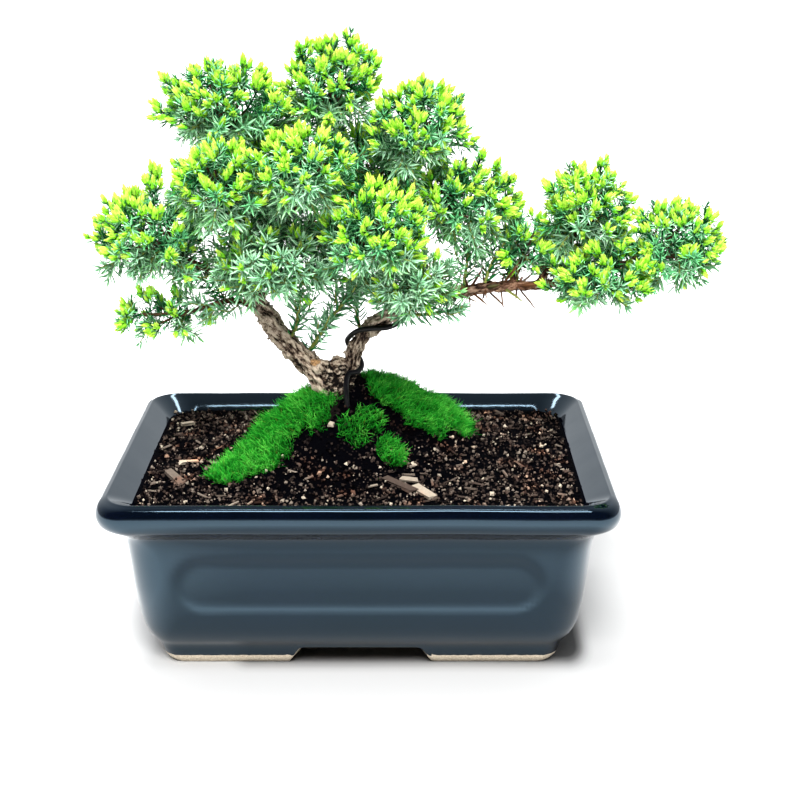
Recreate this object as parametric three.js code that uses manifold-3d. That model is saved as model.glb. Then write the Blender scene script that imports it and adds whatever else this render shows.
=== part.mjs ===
// A small juniper bonsai in a rectangular glazed pot, in millimetres, +Z up.
// The pieces are made with the pot's middle over the origin and its feet at z = 0. At the end
// the tree and pot shift together, so that the middle of the whole footprint is the origin.
import * as THREE from "three";
import { mergeVertices } from "three/addons/utils/BufferGeometryUtils.js";
import Module from "manifold-3d";

const wasm = await Module();
wasm.setup();

// Clearance between pieces that touch on the real plant
const GAP = 0.3;

// Pot: the common 8 x 6 x 3 inch size
const POT_LENGTH = 203;
const POT_DEPTH = 150;
const POT_HEIGHT = 76;
const CORNER_STEPS = 4;
const FLOOR_TOP = 15;
const FLOOR_UNDERSIDE = 8.5;
const FOOT_THICKNESS = 9;
const UNDERSIDE_CORNER = 6;
const FRONT_GAP = { foot: 30, top: 26 };
const SIDE_GAP = { foot: 22, top: 18 };
const DRAIN_RADIUS = 8;
const DRAIN_OFFSET = 42;
const PANEL = { halfLength: 73, low: 27, high: 52, depth: 0.9 };

// Outside of the pot from its feet up to the crest of the rim: inset from the rim's edge,
// height and the radius of the corners there
const OUTER_PROFILE = [
  [24.4, 0, 6],
  [22, 2.8, 7],
  [19.4, 9.6, 8],
  [16.6, 12.8, 11],
  [14, 17.5, 14],
  [12.3, 24, 16],
  [11, 34, 16],
  [9, 56, 14],
  [7.4, 60.6, 13],
  [4.2, 63.2, 12],
  [1.2, 65.8, 12],
  [0, 69, 12],
  [0, 71.6, 12],
  [1.2, 74.6, 12],
  [3.6, POT_HEIGHT, 12],
];

// Inside of the pot from its floor up to the same crest
const INNER_PROFILE = [
  [27, FLOOR_TOP, 14],
  [22.5, 18, 14],
  [19.5, 26, 14],
  [17.6, 42, 14],
  [16, 60, 13],
  [15.2, 67, 12],
  [13, 69.6, 12],
  [9.4, 72.6, 12],
  [4.4, POT_HEIGHT, 12],
];

// Soil: a flat bed with a mound made of three soft humps round the trunk
const BED_HEIGHT = 70;
const HUMPS = [
  { x: -8, y: 5, height: 29, spreadX: 24, spreadY: 24 },
  { x: 25, y: 22, height: 14, spreadX: 20, spreadY: 18 },
  { x: -38, y: -2, height: 5, spreadX: 18, spreadY: 18 },
];
const SOIL_INSET = 12;
const SOIL_COLUMNS = 24;
const SOIL_ROWS = 17;
const CRUMB_HEIGHT = 0.8;

// Wood chips that stand out on the soil: place, turn in degrees, length and width
const LARGE_CHIPS = [
  { x: 16, y: -42, turn: -38, length: 17, width: 3.2 },
  { x: 26, y: -47, turn: -50, length: 13, width: 4 },
  { x: 20, y: -38, turn: 4, length: 8, width: 3 },
  { x: -12, y: -18, turn: 80, length: 5, width: 2.4 },
  { x: -79, y: 40, turn: 40, length: 7, width: 4 },
  { x: -72, y: -13, turn: 35, length: 9, width: 3 },
  { x: -75, y: -28, turn: -50, length: 12, width: 4.5 },
];
const SMALL_CHIPS = 7;
const CHIP_THICKNESS = 1.6;
const CHIP_AREA = { halfX: 80, halfY: 52 };

// Moss mats: discs on the mound, thickest in their middles
const MOSS_THICKNESS = 3.4;
const MOSS_MATS = {
  moss_left: [
    { x: -27, y: -7, radius: 15 },
    { x: -36, y: -12, radius: 17 },
    { x: -46, y: -22, radius: 16 },
    { x: -56, y: -29, radius: 11 },
  ],
  moss_right: [
    { x: 14, y: 4, radius: 12 },
    { x: 23, y: 6, radius: 14 },
    { x: 34, y: 13, radius: 13 },
    { x: 12, y: 16, radius: 14 },
  ],
  moss_front: [
    { x: -3, y: -19, radius: 7 },
    { x: 3, y: -14, radius: 6.5 },
  ],
  moss_tuft: [{ x: 12, y: -24, radius: 6.5 }],
};

// Wood. Each station on a limb is x, y, z and the limb's radius there.
const BARK_RELIEF = 0.09;
const BARK_RIDGES = 3;
const BARK_TWIST = 0.11;
const TRUNK = [
  [-9, 3, 78, 8.5],
  [-10, 2, 88, 8.6],
  [-11, 1, 96, 8],
  [-12, 0, 103, 6.4],
  [-13, 0, 108, 4.6],
];
const LEFT_TRUNK = [
  [-12, 0, 100, 5.8],
  [-19, -1, 108, 4.8],
  [-29, -2, 119.5, 3.9],
  [-36, -3, 129, 3.5],
  [-41, -3, 137, 3.2],
  [-43, -2, 147, 2.8],
  [-39, 0, 156, 2.6],
  [-34, 2, 164, 2.4],
];
const RIGHT_TRUNK = [
  [-10, 0, 100, 4.6],
  [-5.5, 0, 108, 3.4],
  [-3, 0, 117, 3.1],
  [1.5, 0, 125, 3.1],
  [9, 0, 130.5, 3],
  [19, 0, 135.5, 2.7],
  [30, 0, 140, 2.5],
  [42, 0, 142.6, 2.3],
  [56, 0, 144.4, 2.1],
  [73, 0, 145, 1.9],
  [88, 1, 148, 1.6],
];
const PRUNED_STUB = [
  [-15, 0, 108, 3.4],
  [-18.5, -4.5, 113, 3.2],
];
const ROOT_COUNT = 5;
const ROOT_REACH = 27;
const ROOT_TOP = 97;
const ROOT_DROP = 25;
const ROOT_RADIUS = 4.2;
const ROOT_TIP_RADIUS = 1.2;

// Foliage. A needle is 6.5 mm long, and three stand in a whorl.
const NEEDLE_LENGTH = 6.5;
const NEEDLE_LEAN = THREE.MathUtils.degToRad(48);
const WHORL_SPACING = 2.8;
const STEM_RADIUS = 0.75;
const BUD_RADIUS = 1.5;
const BUD_LENGTH = 5;
const BUD_BELLY = 0.45;
const LEAD_BARE = 5;
const SIDE_SHOOT_BARE = 1.5;
const LAST_BRANCHING = 0.6;
const LOWEST_SHOOT = -0.85;
const SHORTEST_SHOOT = 9;
const LEAST_FACING = 0.45;
const SHORTEST_NEEDLE = 3;
const NEEDLE_ROOT = 0.8;
const CLEARANCE = 0.2;
const SPOT_SPACING = 1;

// A pad is a cloud of shoots round its centre. Its branch runs from the trunk to where the
// pad's own twigs begin.
const PADS = {
  foliage_crown_left: {
    centre: [-55, 4, 218],
    half: [26, 21, 17],
    shoots: 13,
    branch: [
      [-35, 2, 162, 2],
      [-41, 3, 178, 1.7],
      [-47, 4, 192, 1.4],
      [-51, 4, 203, 1.1],
    ],
  },
  foliage_crown_top: {
    centre: [-11, 8, 226],
    half: [20, 19, 19],
    shoots: 11,
    branch: [
      [-34, 2, 163, 2.2],
      [-27, 4, 180, 1.8],
      [-18, 7, 196, 1.5],
      [-13, 8, 211, 1.1],
    ],
  },
  foliage_crown_right: {
    centre: [25, 4, 209],
    half: [19, 20, 20],
    shoots: 11,
    branch: [
      [-19, 7, 194, 1.4],
      [-4, 6, 195, 1.3],
      [12, 5, 200, 1],
    ],
  },
  foliage_mid_right: {
    centre: [43, 6, 180],
    half: [23, 20, 18],
    shoots: 11,
    branch: [
      [-33, 2, 165, 1.8],
      [-15, 4, 170, 1.6],
      [6, 5, 172, 1.3],
      [24, 6, 174, 1],
    ],
  },
  foliage_front_left: {
    centre: [-55, -24, 191],
    half: [18, 18, 18],
    shoots: 10,
    branch: [
      [-40, 0, 156, 1.6],
      [-44, -8, 166, 1.4],
      [-50, -17, 177, 1],
    ],
  },
  foliage_front_centre: {
    centre: [-22, -29, 197],
    half: [20, 19, 17],
    shoots: 11,
    branch: [
      [-31, 3, 171, 1.5],
      [-28, -8, 179, 1.3],
      [-25, -19, 186, 1],
    ],
  },
  foliage_front_right: {
    centre: [9, -28, 172],
    half: [19, 19, 20],
    shoots: 11,
    branch: [
      [-33, 1, 166, 1.5],
      [-18, -10, 168, 1.3],
      [-5, -20, 168, 1],
    ],
  },
  foliage_low_right: {
    centre: [21, -20, 149],
    half: [16, 15, 12],
    shoots: 7,
    branch: [
      [20, 0, 136, 1.5],
      [20, -8, 139, 1.2],
      [20, -13, 143, 1],
    ],
  },
  foliage_left: {
    centre: [-86, -6, 167],
    half: [22, 20, 21],
    shoots: 11,
    branch: [
      [-42, -3, 142, 1.8],
      [-55, -5, 149, 1.5],
      [-70, -6, 157, 1.1],
    ],
  },
  foliage_low_left: {
    centre: [-82, -6, 133],
    half: [20, 15, 10],
    shoots: 8,
    branch: [
      [-41, -3, 136, 1.6],
      [-53, -4, 139.5, 1.3],
      [-67, -6, 136, 1],
    ],
  },
  foliage_inner: {
    centre: [-37, -17, 156],
    half: [22, 13, 13],
    shoots: 8,
    branch: [
      [-43, -2, 148, 1.4],
      [-41, -6, 150, 1.2],
      [-39, -11, 152, 1],
    ],
  },
  foliage_back_left: {
    centre: [-48, 33, 190],
    half: [26, 20, 19],
    shoots: 10,
    branch: [
      [-37, 3, 160, 1.6],
      [-43, 16, 172, 1.3],
      [-47, 26, 180, 1],
    ],
  },
  foliage_back_right: {
    centre: [3, 34, 189],
    half: [24, 20, 20],
    shoots: 10,
    branch: [
      [-15, 4, 170, 1.4],
      [-8, 16, 176, 1.2],
      [-2, 26, 181, 1],
    ],
  },
  foliage_right_top: {
    centre: [91, 2, 177],
    half: [18, 19, 18],
    shoots: 10,
    branch: [
      [72, 0, 145, 1.5],
      [79, 2, 154, 1.2],
      [86, 2, 164, 1],
    ],
  },
  foliage_right_tip: {
    centre: [128, 0, 162],
    half: [19, 19, 19],
    shoots: 10,
    branch: [
      [86, 1, 147.5, 1.6],
      [99, 1, 151, 1.3],
      [113, 0, 156, 1],
    ],
  },
  foliage_right_low: {
    centre: [97, -12, 147],
    half: [21, 15, 14],
    shoots: 9,
    branch: [
      [84, 0.5, 147, 1.3],
      [88, -4, 146, 1.1],
      [92, -8, 145, 1],
    ],
  },
  foliage_right_near: {
    centre: [68, 6, 160],
    half: [12, 12, 13],
    shoots: 6,
    branch: [
      [60, 0, 144.5, 1.3],
      [64, 3, 149, 1.1],
      [66, 5, 153, 1],
    ],
  },
  foliage_right_back: {
    centre: [92, 22, 157],
    half: [21, 14, 15],
    shoots: 8,
    branch: [
      [80, 0, 146, 1.3],
      [84, 8, 149, 1.1],
      [88, 14, 152, 1],
    ],
  },
};

// Single shoots on bare wood: points from inside the wood to the shoot's tip
const SPRIGS = {
  sprig_fork: [
    [-23, -1, 115],
    [-13, -5, 131],
    [-1, -8, 147],
  ],
  sprig_trunk_left: [
    [-30, -2, 122],
    [-26, -5, 130],
    [-27, -6, 140],
  ],
  sprig_trunk_right: [
    [0, 1, 124],
    [-2, 4, 133],
    [-1, 6, 145],
  ],
  sprig_branch_low: [
    [14, 0, 133],
    [26, -6, 134],
    [42, -9, 138],
  ],
  sprig_branch_middle: [
    [42, 0, 142],
    [43, -2, 153],
    [45, -3, 166],
  ],
  sprig_branch_outer: [
    [50, 0, 143.5],
    [54, 3, 154],
    [61, 5, 165],
  ],
};
const SPRIG_REACH = 7;

// Training wire: wound to the right round the right trunk. The list holds how far along the
// trunk the wire has made each quarter turn, beginning in front.
const WIRE_RADIUS = 1.25;
const WIRE_QUARTERS = [9.5, 13, 17, 22, 32, 42, 50, 57, 61, 66, 72];
const WIRE_STEP = 3.4;
const WIRE_TAIL = [
  [-4, -10, 89],
  [-6, -9, 98],
];

// Drain screen: a square of plastic mesh
const SCREEN_SIDE = 20;
const SCREEN_THICKNESS = 1;
const SCREEN_HOLES = 3;
const SCREEN_HOLE_SIDE = 4.6;

const GOLDEN_ANGLE = Math.PI * (3 - Math.sqrt(5));
const AXIS_X = new THREE.Vector3(1, 0, 0);
const AXIS_Z = new THREE.Vector3(0, 0, 1);

// Solids

// A closed solid from points and triangles of point numbers.
function solidOf(points, triangles) {
  const mesh = new wasm.Mesh({
    numProp: 3,
    vertProperties: new Float32Array(points.flat()),
    triVerts: new Uint32Array(triangles.flat()),
  });
  return new wasm.Manifold(mesh);
}

// A closed solid from one of three's geometries, moved by a matrix.
function solidFrom(geometry, matrix = new THREE.Matrix4()) {
  const bare = geometry.clone().applyMatrix4(matrix);
  bare.deleteAttribute("normal");
  bare.deleteAttribute("uv");
  const merged = mergeVertices(bare, 1e-4);
  const mesh = new wasm.Mesh({
    numProp: 3,
    vertProperties: new Float32Array(merged.attributes.position.array),
    triVerts: new Uint32Array(merged.index.array),
  });
  return new wasm.Manifold(mesh);
}

function joined(solids) {
  return solids.reduce((whole, solid) => whole.add(solid));
}

// The largest closed body in a solid, without the scraps that a cut leaves.
function largestBody(solid) {
  return solid
    .decompose()
    .reduce((best, body) => (body.volume() > best.volume() ? body : best));
}

// A closed solid through rings of equal point counts, with flat ends.
function loft(rings) {
  const count = rings[0].length;
  const top = (rings.length - 1) * count;
  const triangles = [];
  for (let ring = 0; ring + 1 < rings.length; ring++) {
    for (let k = 0; k < count; k++) {
      const here = ring * count + k;
      const next = ring * count + ((k + 1) % count);
      triangles.push([here, next, next + count], [here, next + count, here + count]);
    }
  }
  for (let k = 1; k + 1 < count; k++) {
    triangles.push([0, k + 1, k], [top, top + k, top + k + 1]);
  }
  return solidOf(rings.flat(), triangles);
}

// Numbers from 0 to 1 that look random and are the same each time.
function seeded(seed) {
  let state = seed;
  return () => {
    state = (state * 1664525 + 1013904223) % 4294967296;
    return state / 4294967296;
  };
}

// Pot

function roundedRectangle(halfX, halfY, radius, z) {
  const points = [];
  for (let corner = 0; corner < 4; corner++) {
    const signX = corner === 0 || corner === 3 ? 1 : -1;
    const signY = corner < 2 ? 1 : -1;
    for (let k = 0; k <= CORNER_STEPS; k++) {
      const angle = ((corner + k / CORNER_STEPS) * Math.PI) / 2;
      points.push([
        signX * (halfX - radius) + radius * Math.cos(angle),
        signY * (halfY - radius) + radius * Math.sin(angle),
        z,
      ]);
    }
  }
  return points;
}

// A solid through rounded rectangles, each given by inset from the rim's edge, height and radius.
function potLoft(profile, extraInset = 0) {
  return loft(
    profile.map(([inset, z, radius]) => {
      const halfX = POT_LENGTH / 2 - inset - extraInset;
      const halfY = POT_DEPTH / 2 - inset - extraInset;
      return roundedRectangle(halfX, halfY, radius, z);
    }),
  );
}

// A cutter under the bowl between two feet, wider at the table than at the bowl. It runs
// along Y, or along X when it is turned.
function footGap({ foot, top }, turned) {
  const outline = new THREE.Shape();
  outline.moveTo(-foot, -1);
  outline.lineTo(foot, -1);
  outline.quadraticCurveTo(top + 1, FLOOR_UNDERSIDE * 0.6, top - 3, FLOOR_UNDERSIDE);
  outline.lineTo(-top + 3, FLOOR_UNDERSIDE);
  outline.quadraticCurveTo(-top - 1, FLOOR_UNDERSIDE * 0.6, -foot, -1);
  const geometry = new THREE.ExtrudeGeometry(outline, {
    depth: POT_LENGTH,
    bevelEnabled: false,
    curveSegments: 3,
  });
  geometry.translate(0, 0, -POT_LENGTH / 2);
  geometry.rotateX(Math.PI / 2);
  if (turned) geometry.rotateZ(Math.PI / 2);
  return solidFrom(geometry);
}

// The shallow panel with round ends, sunk in the front and the back of the bowl.
function panelCut() {
  const radius = (PANEL.high - PANEL.low) / 2;
  const middle = (PANEL.high + PANEL.low) / 2;
  const straight = PANEL.halfLength - radius;
  const outline = new THREE.Shape();
  outline.absarc(straight, middle, radius, -Math.PI / 2, Math.PI / 2);
  outline.absarc(-straight, middle, radius, Math.PI / 2, (3 * Math.PI) / 2);
  const geometry = new THREE.ExtrudeGeometry(outline, {
    depth: POT_DEPTH,
    bevelEnabled: false,
    curveSegments: 6,
  });
  geometry.translate(0, 0, -POT_DEPTH / 2);
  geometry.rotateX(Math.PI / 2);
  return solidFrom(geometry).subtract(potLoft(OUTER_PROFILE, PANEL.depth));
}

function makePot() {
  const [crestInset, crest, crestCorner] = INNER_PROFILE.at(-1);
  const inside = [...INNER_PROFILE, [crestInset, crest + 1, crestCorner]];
  const underInset = OUTER_PROFILE[0][0] + FOOT_THICKNESS;
  const underside = [-1, FLOOR_UNDERSIDE].map((z) => [underInset, z, UNDERSIDE_CORNER]);
  let pot = potLoft(OUTER_PROFILE)
    .subtract(panelCut())
    .subtract(potLoft(inside))
    .subtract(potLoft(underside))
    .subtract(footGap(FRONT_GAP, false))
    .subtract(footGap(SIDE_GAP, true));
  for (const side of [-1, 1]) {
    const drain = new THREE.CylinderGeometry(DRAIN_RADIUS, DRAIN_RADIUS, 2 * FLOOR_TOP, 16);
    drain.rotateX(Math.PI / 2);
    drain.translate(side * DRAIN_OFFSET, 0, FLOOR_TOP);
    pot = pot.subtract(solidFrom(drain));
  }
  return pot;
}

function makeScreen(side) {
  const spacing = SCREEN_SIDE / SCREEN_HOLES;
  const middle = FLOOR_TOP + GAP + SCREEN_THICKNESS / 2;
  const plate = new THREE.BoxGeometry(SCREEN_SIDE, SCREEN_SIDE, SCREEN_THICKNESS);
  plate.translate(side * DRAIN_OFFSET, 0, middle);
  let screen = solidFrom(plate);
  for (let column = 0; column < SCREEN_HOLES; column++) {
    for (let row = 0; row < SCREEN_HOLES; row++) {
      const hole = new THREE.BoxGeometry(SCREEN_HOLE_SIDE, SCREEN_HOLE_SIDE, 2 * SCREEN_THICKNESS);
      const x = side * DRAIN_OFFSET - SCREEN_SIDE / 2 + (column + 0.5) * spacing;
      const y = -SCREEN_SIDE / 2 + (row + 0.5) * spacing;
      hole.translate(x, y, middle);
      screen = screen.subtract(solidFrom(hole));
    }
  }
  return screen;
}

// Room for the screens under the soil.
function screenRoom(side) {
  const width = SCREEN_SIDE + 2 * GAP;
  const height = 2 * (SCREEN_THICKNESS + 2 * GAP);
  const room = new THREE.BoxGeometry(width, width, height);
  room.translate(side * DRAIN_OFFSET, 0, FLOOR_TOP);
  return solidFrom(room);
}

// Soil

function moundHeight(x, y) {
  return HUMPS.reduce((height, hump) => {
    const across = ((x - hump.x) / hump.spreadX) ** 2;
    const along = ((y - hump.y) / hump.spreadY) ** 2;
    return height + hump.height * Math.exp(-(across + along) / 2);
  }, BED_HEIGHT);
}

// Heights of the crumbly soil on a grid over the pot's mouth.
function soilGrid() {
  const random = seeded(11);
  const halfX = POT_LENGTH / 2 - SOIL_INSET;
  const halfY = POT_DEPTH / 2 - SOIL_INSET;
  const points = [];
  for (let row = 0; row <= SOIL_ROWS; row++) {
    for (let column = 0; column <= SOIL_COLUMNS; column++) {
      const x = -halfX + (2 * halfX * column) / SOIL_COLUMNS;
      const y = -halfY + (2 * halfY * row) / SOIL_ROWS;
      points.push([x, y, moundHeight(x, y) + CRUMB_HEIGHT * (2 * random() - 1)]);
    }
  }
  return points;
}

// A block under a raised copy of the grid. raise(x, y) gives how far each point is lifted.
function terrain(grid, base, raise) {
  const wide = SOIL_COLUMNS + 1;
  const count = grid.length;
  const top = grid.map(([x, y, z]) => [x, y, z + raise(x, y)]);
  const bottom = grid.map(([x, y]) => [x, y, base]);
  const triangles = [];
  for (let row = 0; row < SOIL_ROWS; row++) {
    for (let column = 0; column < SOIL_COLUMNS; column++) {
      const a = row * wide + column;
      const b = a + 1;
      const c = a + wide;
      const d = c + 1;
      triangles.push([a, b, d], [a, d, c]);
      triangles.push([count + a, count + d, count + b], [count + a, count + c, count + d]);
    }
  }
  const wall = (from, to) => {
    triangles.push([to, from, count + from], [to, count + from, count + to]);
  };
  for (let column = 0; column < SOIL_COLUMNS; column++) {
    wall(column, column + 1);
    wall(SOIL_ROWS * wide + column + 1, SOIL_ROWS * wide + column);
  }
  for (let row = 0; row < SOIL_ROWS; row++) {
    wall((row + 1) * wide, row * wide);
    wall(row * wide + SOIL_COLUMNS, (row + 1) * wide + SOIL_COLUMNS);
  }
  return solidOf([...top, ...bottom], triangles);
}

function makeChip({ x, y, turn, length, width }, tilt) {
  const place = new THREE.Matrix4().makeTranslation(x, y, moundHeight(x, y) + CHIP_THICKNESS / 4);
  const spin = new THREE.Matrix4().makeRotationZ(THREE.MathUtils.degToRad(turn));
  const lean = new THREE.Matrix4().makeRotationY(tilt);
  const chip = new THREE.BoxGeometry(length, width, CHIP_THICKNESS);
  return solidFrom(chip, place.multiply(spin).multiply(lean));
}

// How far the moss of a mat stands over the soil, below zero outside the mat.
function mossThickness(discs, x, y) {
  const depths = discs.map((disc) => 1 - ((x - disc.x) ** 2 + (y - disc.y) ** 2) / disc.radius ** 2);
  return MOSS_THICKNESS * Math.min(Math.max(...depths) * 2, 1 + 0.3 * Math.sin(x) * Math.cos(y));
}

function coveredByMoss(x, y) {
  return Object.values(MOSS_MATS).some((discs) => mossThickness(discs, x, y) > -MOSS_THICKNESS);
}

function makeChips() {
  const random = seeded(5);
  const chips = LARGE_CHIPS.map((chip) => makeChip(chip, 0.12));
  while (chips.length < LARGE_CHIPS.length + SMALL_CHIPS) {
    const x = (2 * random() - 1) * CHIP_AREA.halfX;
    const y = (2 * random() - 1) * CHIP_AREA.halfY;
    const chip = { x, y, turn: 360 * random(), length: 4 + 5 * random(), width: 1.8 + 1.4 * random() };
    if (!coveredByMoss(x, y) && Math.hypot(x - TRUNK[0][0], y) > 2 * TRUNK[0][3]) {
      chips.push(makeChip(chip, 0.3 * random()));
    }
  }
  return chips;
}

function makeSoil(grid, cutters) {
  const [[floorInset, , floorCorner], ...rest] = INNER_PROFILE;
  const [crestInset, , crestCorner] = INNER_PROFILE.at(-1);
  const floor = [floorInset, FLOOR_TOP + GAP, floorCorner];
  const sides = [floor, ...rest, [crestInset, 2 * POT_HEIGHT, crestCorner]];
  const filled = potLoft(sides, GAP + 0.1);
  const heap = joined([terrain(grid, 0, () => 0), ...makeChips()]);
  return cutters.reduce((soil, cutter) => soil.subtract(cutter), heap.intersect(filled));
}

function makeMoss(grid, discs, cutters) {
  const upTo = terrain(grid, 10, (x, y) => mossThickness(discs, x, y));
  const soilAndGap = terrain(grid, 0, () => GAP);
  const mat = upTo.subtract(soilAndGap);
  return largestBody(cutters.reduce((moss, cutter) => moss.subtract(cutter), mat));
}

// Wood

function curveOf(stations) {
  return new THREE.CatmullRomCurve3(
    stations.map(([x, y, z]) => new THREE.Vector3(x, y, z)),
    false,
    "centripetal",
  );
}

// The radius at a share of a limb's length.
function radiusAlong(stations, curve, share) {
  const place = curve.getUtoTmapping(share) * (stations.length - 1);
  const from = Math.min(Math.floor(place), stations.length - 2);
  return THREE.MathUtils.lerp(stations[from][3], stations[from + 1][3], place - from);
}

// A tapering limb with twisting bark ridges, swollen by extra on every side.
function limb(stations, sides, ringSpacing, extra = 0) {
  const curve = curveOf(stations);
  const length = curve.getLength();
  const steps = Math.max(1, Math.round(length / ringSpacing));
  const frames = curve.computeFrenetFrames(steps, false);
  const rings = [];
  for (let step = 0; step <= steps; step++) {
    const share = step / steps;
    const radius = radiusAlong(stations, curve, share) + extra;
    const end = step === 0 ? -extra : step === steps ? extra : 0;
    const middle = curve.getPointAt(share).addScaledVector(frames.tangents[step], end);
    const ring = [];
    for (let k = 0; k < sides; k++) {
      const angle = (k * 2 * Math.PI) / sides;
      const ridge = Math.sin(BARK_RIDGES * angle + BARK_TWIST * share * length);
      const reach = radius * (1 + BARK_RELIEF * ridge * ((step + k) % 2));
      const point = middle
        .clone()
        .addScaledVector(frames.normals[step], reach * Math.cos(angle))
        .addScaledVector(frames.binormals[step], reach * Math.sin(angle));
      ring.push(point.toArray());
    }
    rings.push(ring);
  }
  return loft(rings);
}

// Surface roots that run out from the trunk and down into the soil.
function rootStations(turn) {
  const [x, y] = TRUNK[2];
  return [0.1, 0.4, 0.7, 1].map((share) => [
    x + share * ROOT_REACH * Math.cos(turn),
    y + share * ROOT_REACH * Math.sin(turn),
    ROOT_TOP - ROOT_DROP * share ** 1.8,
    THREE.MathUtils.lerp(ROOT_RADIUS, ROOT_TIP_RADIUS, share),
  ]);
}

function makeTree(extra = 0) {
  const wood = [
    limb(TRUNK, 11, 7, extra),
    limb(LEFT_TRUNK, 8, 6.5, extra),
    limb(RIGHT_TRUNK, 7, 7, extra),
    limb(PRUNED_STUB, 8, 8, extra),
  ];
  for (let k = 0; k < ROOT_COUNT; k++) {
    wood.push(limb(rootStations((k / ROOT_COUNT - 0.25) * 2 * Math.PI), 5, 11, extra));
  }
  for (const { branch } of Object.values(PADS)) {
    wood.push(limb(branch, 5, 12, extra));
  }
  return joined(wood);
}

// Training wire

function wireRoute() {
  const curve = curveOf(RIGHT_TRUNK);
  const length = curve.getLength();
  const front = new THREE.Vector3(0, -1, 0);
  const points = WIRE_TAIL.map(([x, y, z]) => new THREE.Vector3(x, y, z));
  for (let eighth = 0; eighth <= 2 * (WIRE_QUARTERS.length - 1); eighth++) {
    const before = WIRE_QUARTERS[Math.floor(eighth / 2)];
    const after = WIRE_QUARTERS[Math.ceil(eighth / 2)];
    const share = (before + after) / 2 / length;
    const side = new THREE.Vector3().crossVectors(curve.getTangentAt(share), front).normalize();
    const angle = (eighth * Math.PI) / 4;
    const reach = radiusAlong(RIGHT_TRUNK, curve, share) * (1 + BARK_RELIEF) + GAP + WIRE_RADIUS;
    points.push(
      curve
        .getPointAt(share)
        .addScaledVector(front, reach * Math.cos(angle))
        .addScaledVector(side, reach * Math.sin(angle)),
    );
  }
  return new THREE.CatmullRomCurve3(points);
}

function makeWire(extra = 0) {
  const route = wireRoute();
  const section = new THREE.Shape();
  section.absarc(0, 0, WIRE_RADIUS + extra, 0, 2 * Math.PI);
  const steps = Math.round(route.getLength() / WIRE_STEP);
  return solidFrom(
    new THREE.ExtrudeGeometry(section, { steps, extrudePath: route, curveSegments: 3, bevelEnabled: false }),
  );
}

// Foliage

// Each pad or sprig keeps to its own side of flat borders with its neighbours.
function borders(name, sites) {
  const own = sites[name];
  return Object.entries(sites)
    .filter(([other]) => other !== name)
    .map(([, site]) => {
      const across = site.centre.clone().sub(own.centre);
      const distance = across.length();
      const normal = across.normalize();
      const share = (distance ** 2 + own.reach ** 2 - site.reach ** 2) / (2 * distance);
      return { normal, limit: normal.dot(own.centre) + share - GAP / 2 };
    });
}

// The point, or where the line to it from an anchor inside meets the first border.
function keptInside(point, anchor, walls, margin = 0) {
  const run = point.clone().sub(anchor);
  let share = 1;
  for (const { normal, limit } of walls) {
    const room = limit - margin - normal.dot(anchor);
    const need = normal.dot(run);
    if (need > room) share = Math.min(share, Math.max(room, 0) / need);
  }
  return anchor.clone().addScaledVector(run, share);
}

// Round spots along a curve that foliage keeps clear of.
function spotsAlong(curve, radiusAt, stem, from = 0) {
  const length = curve.getLength();
  const spots = [];
  for (let along = from; along <= length; along += SPOT_SPACING) {
    spots.push({ centre: curve.getPointAt(along / length), radius: radiusAt(along / length), stem });
  }
  return spots;
}

function isClear(spots, obstacles, ownStems) {
  return spots.every((spot) =>
    obstacles.every(
      (obstacle) =>
        ownStems.includes(obstacle.stem) ||
        spot.centre.distanceTo(obstacle.centre) > spot.radius + obstacle.radius,
    ),
  );
}

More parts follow.
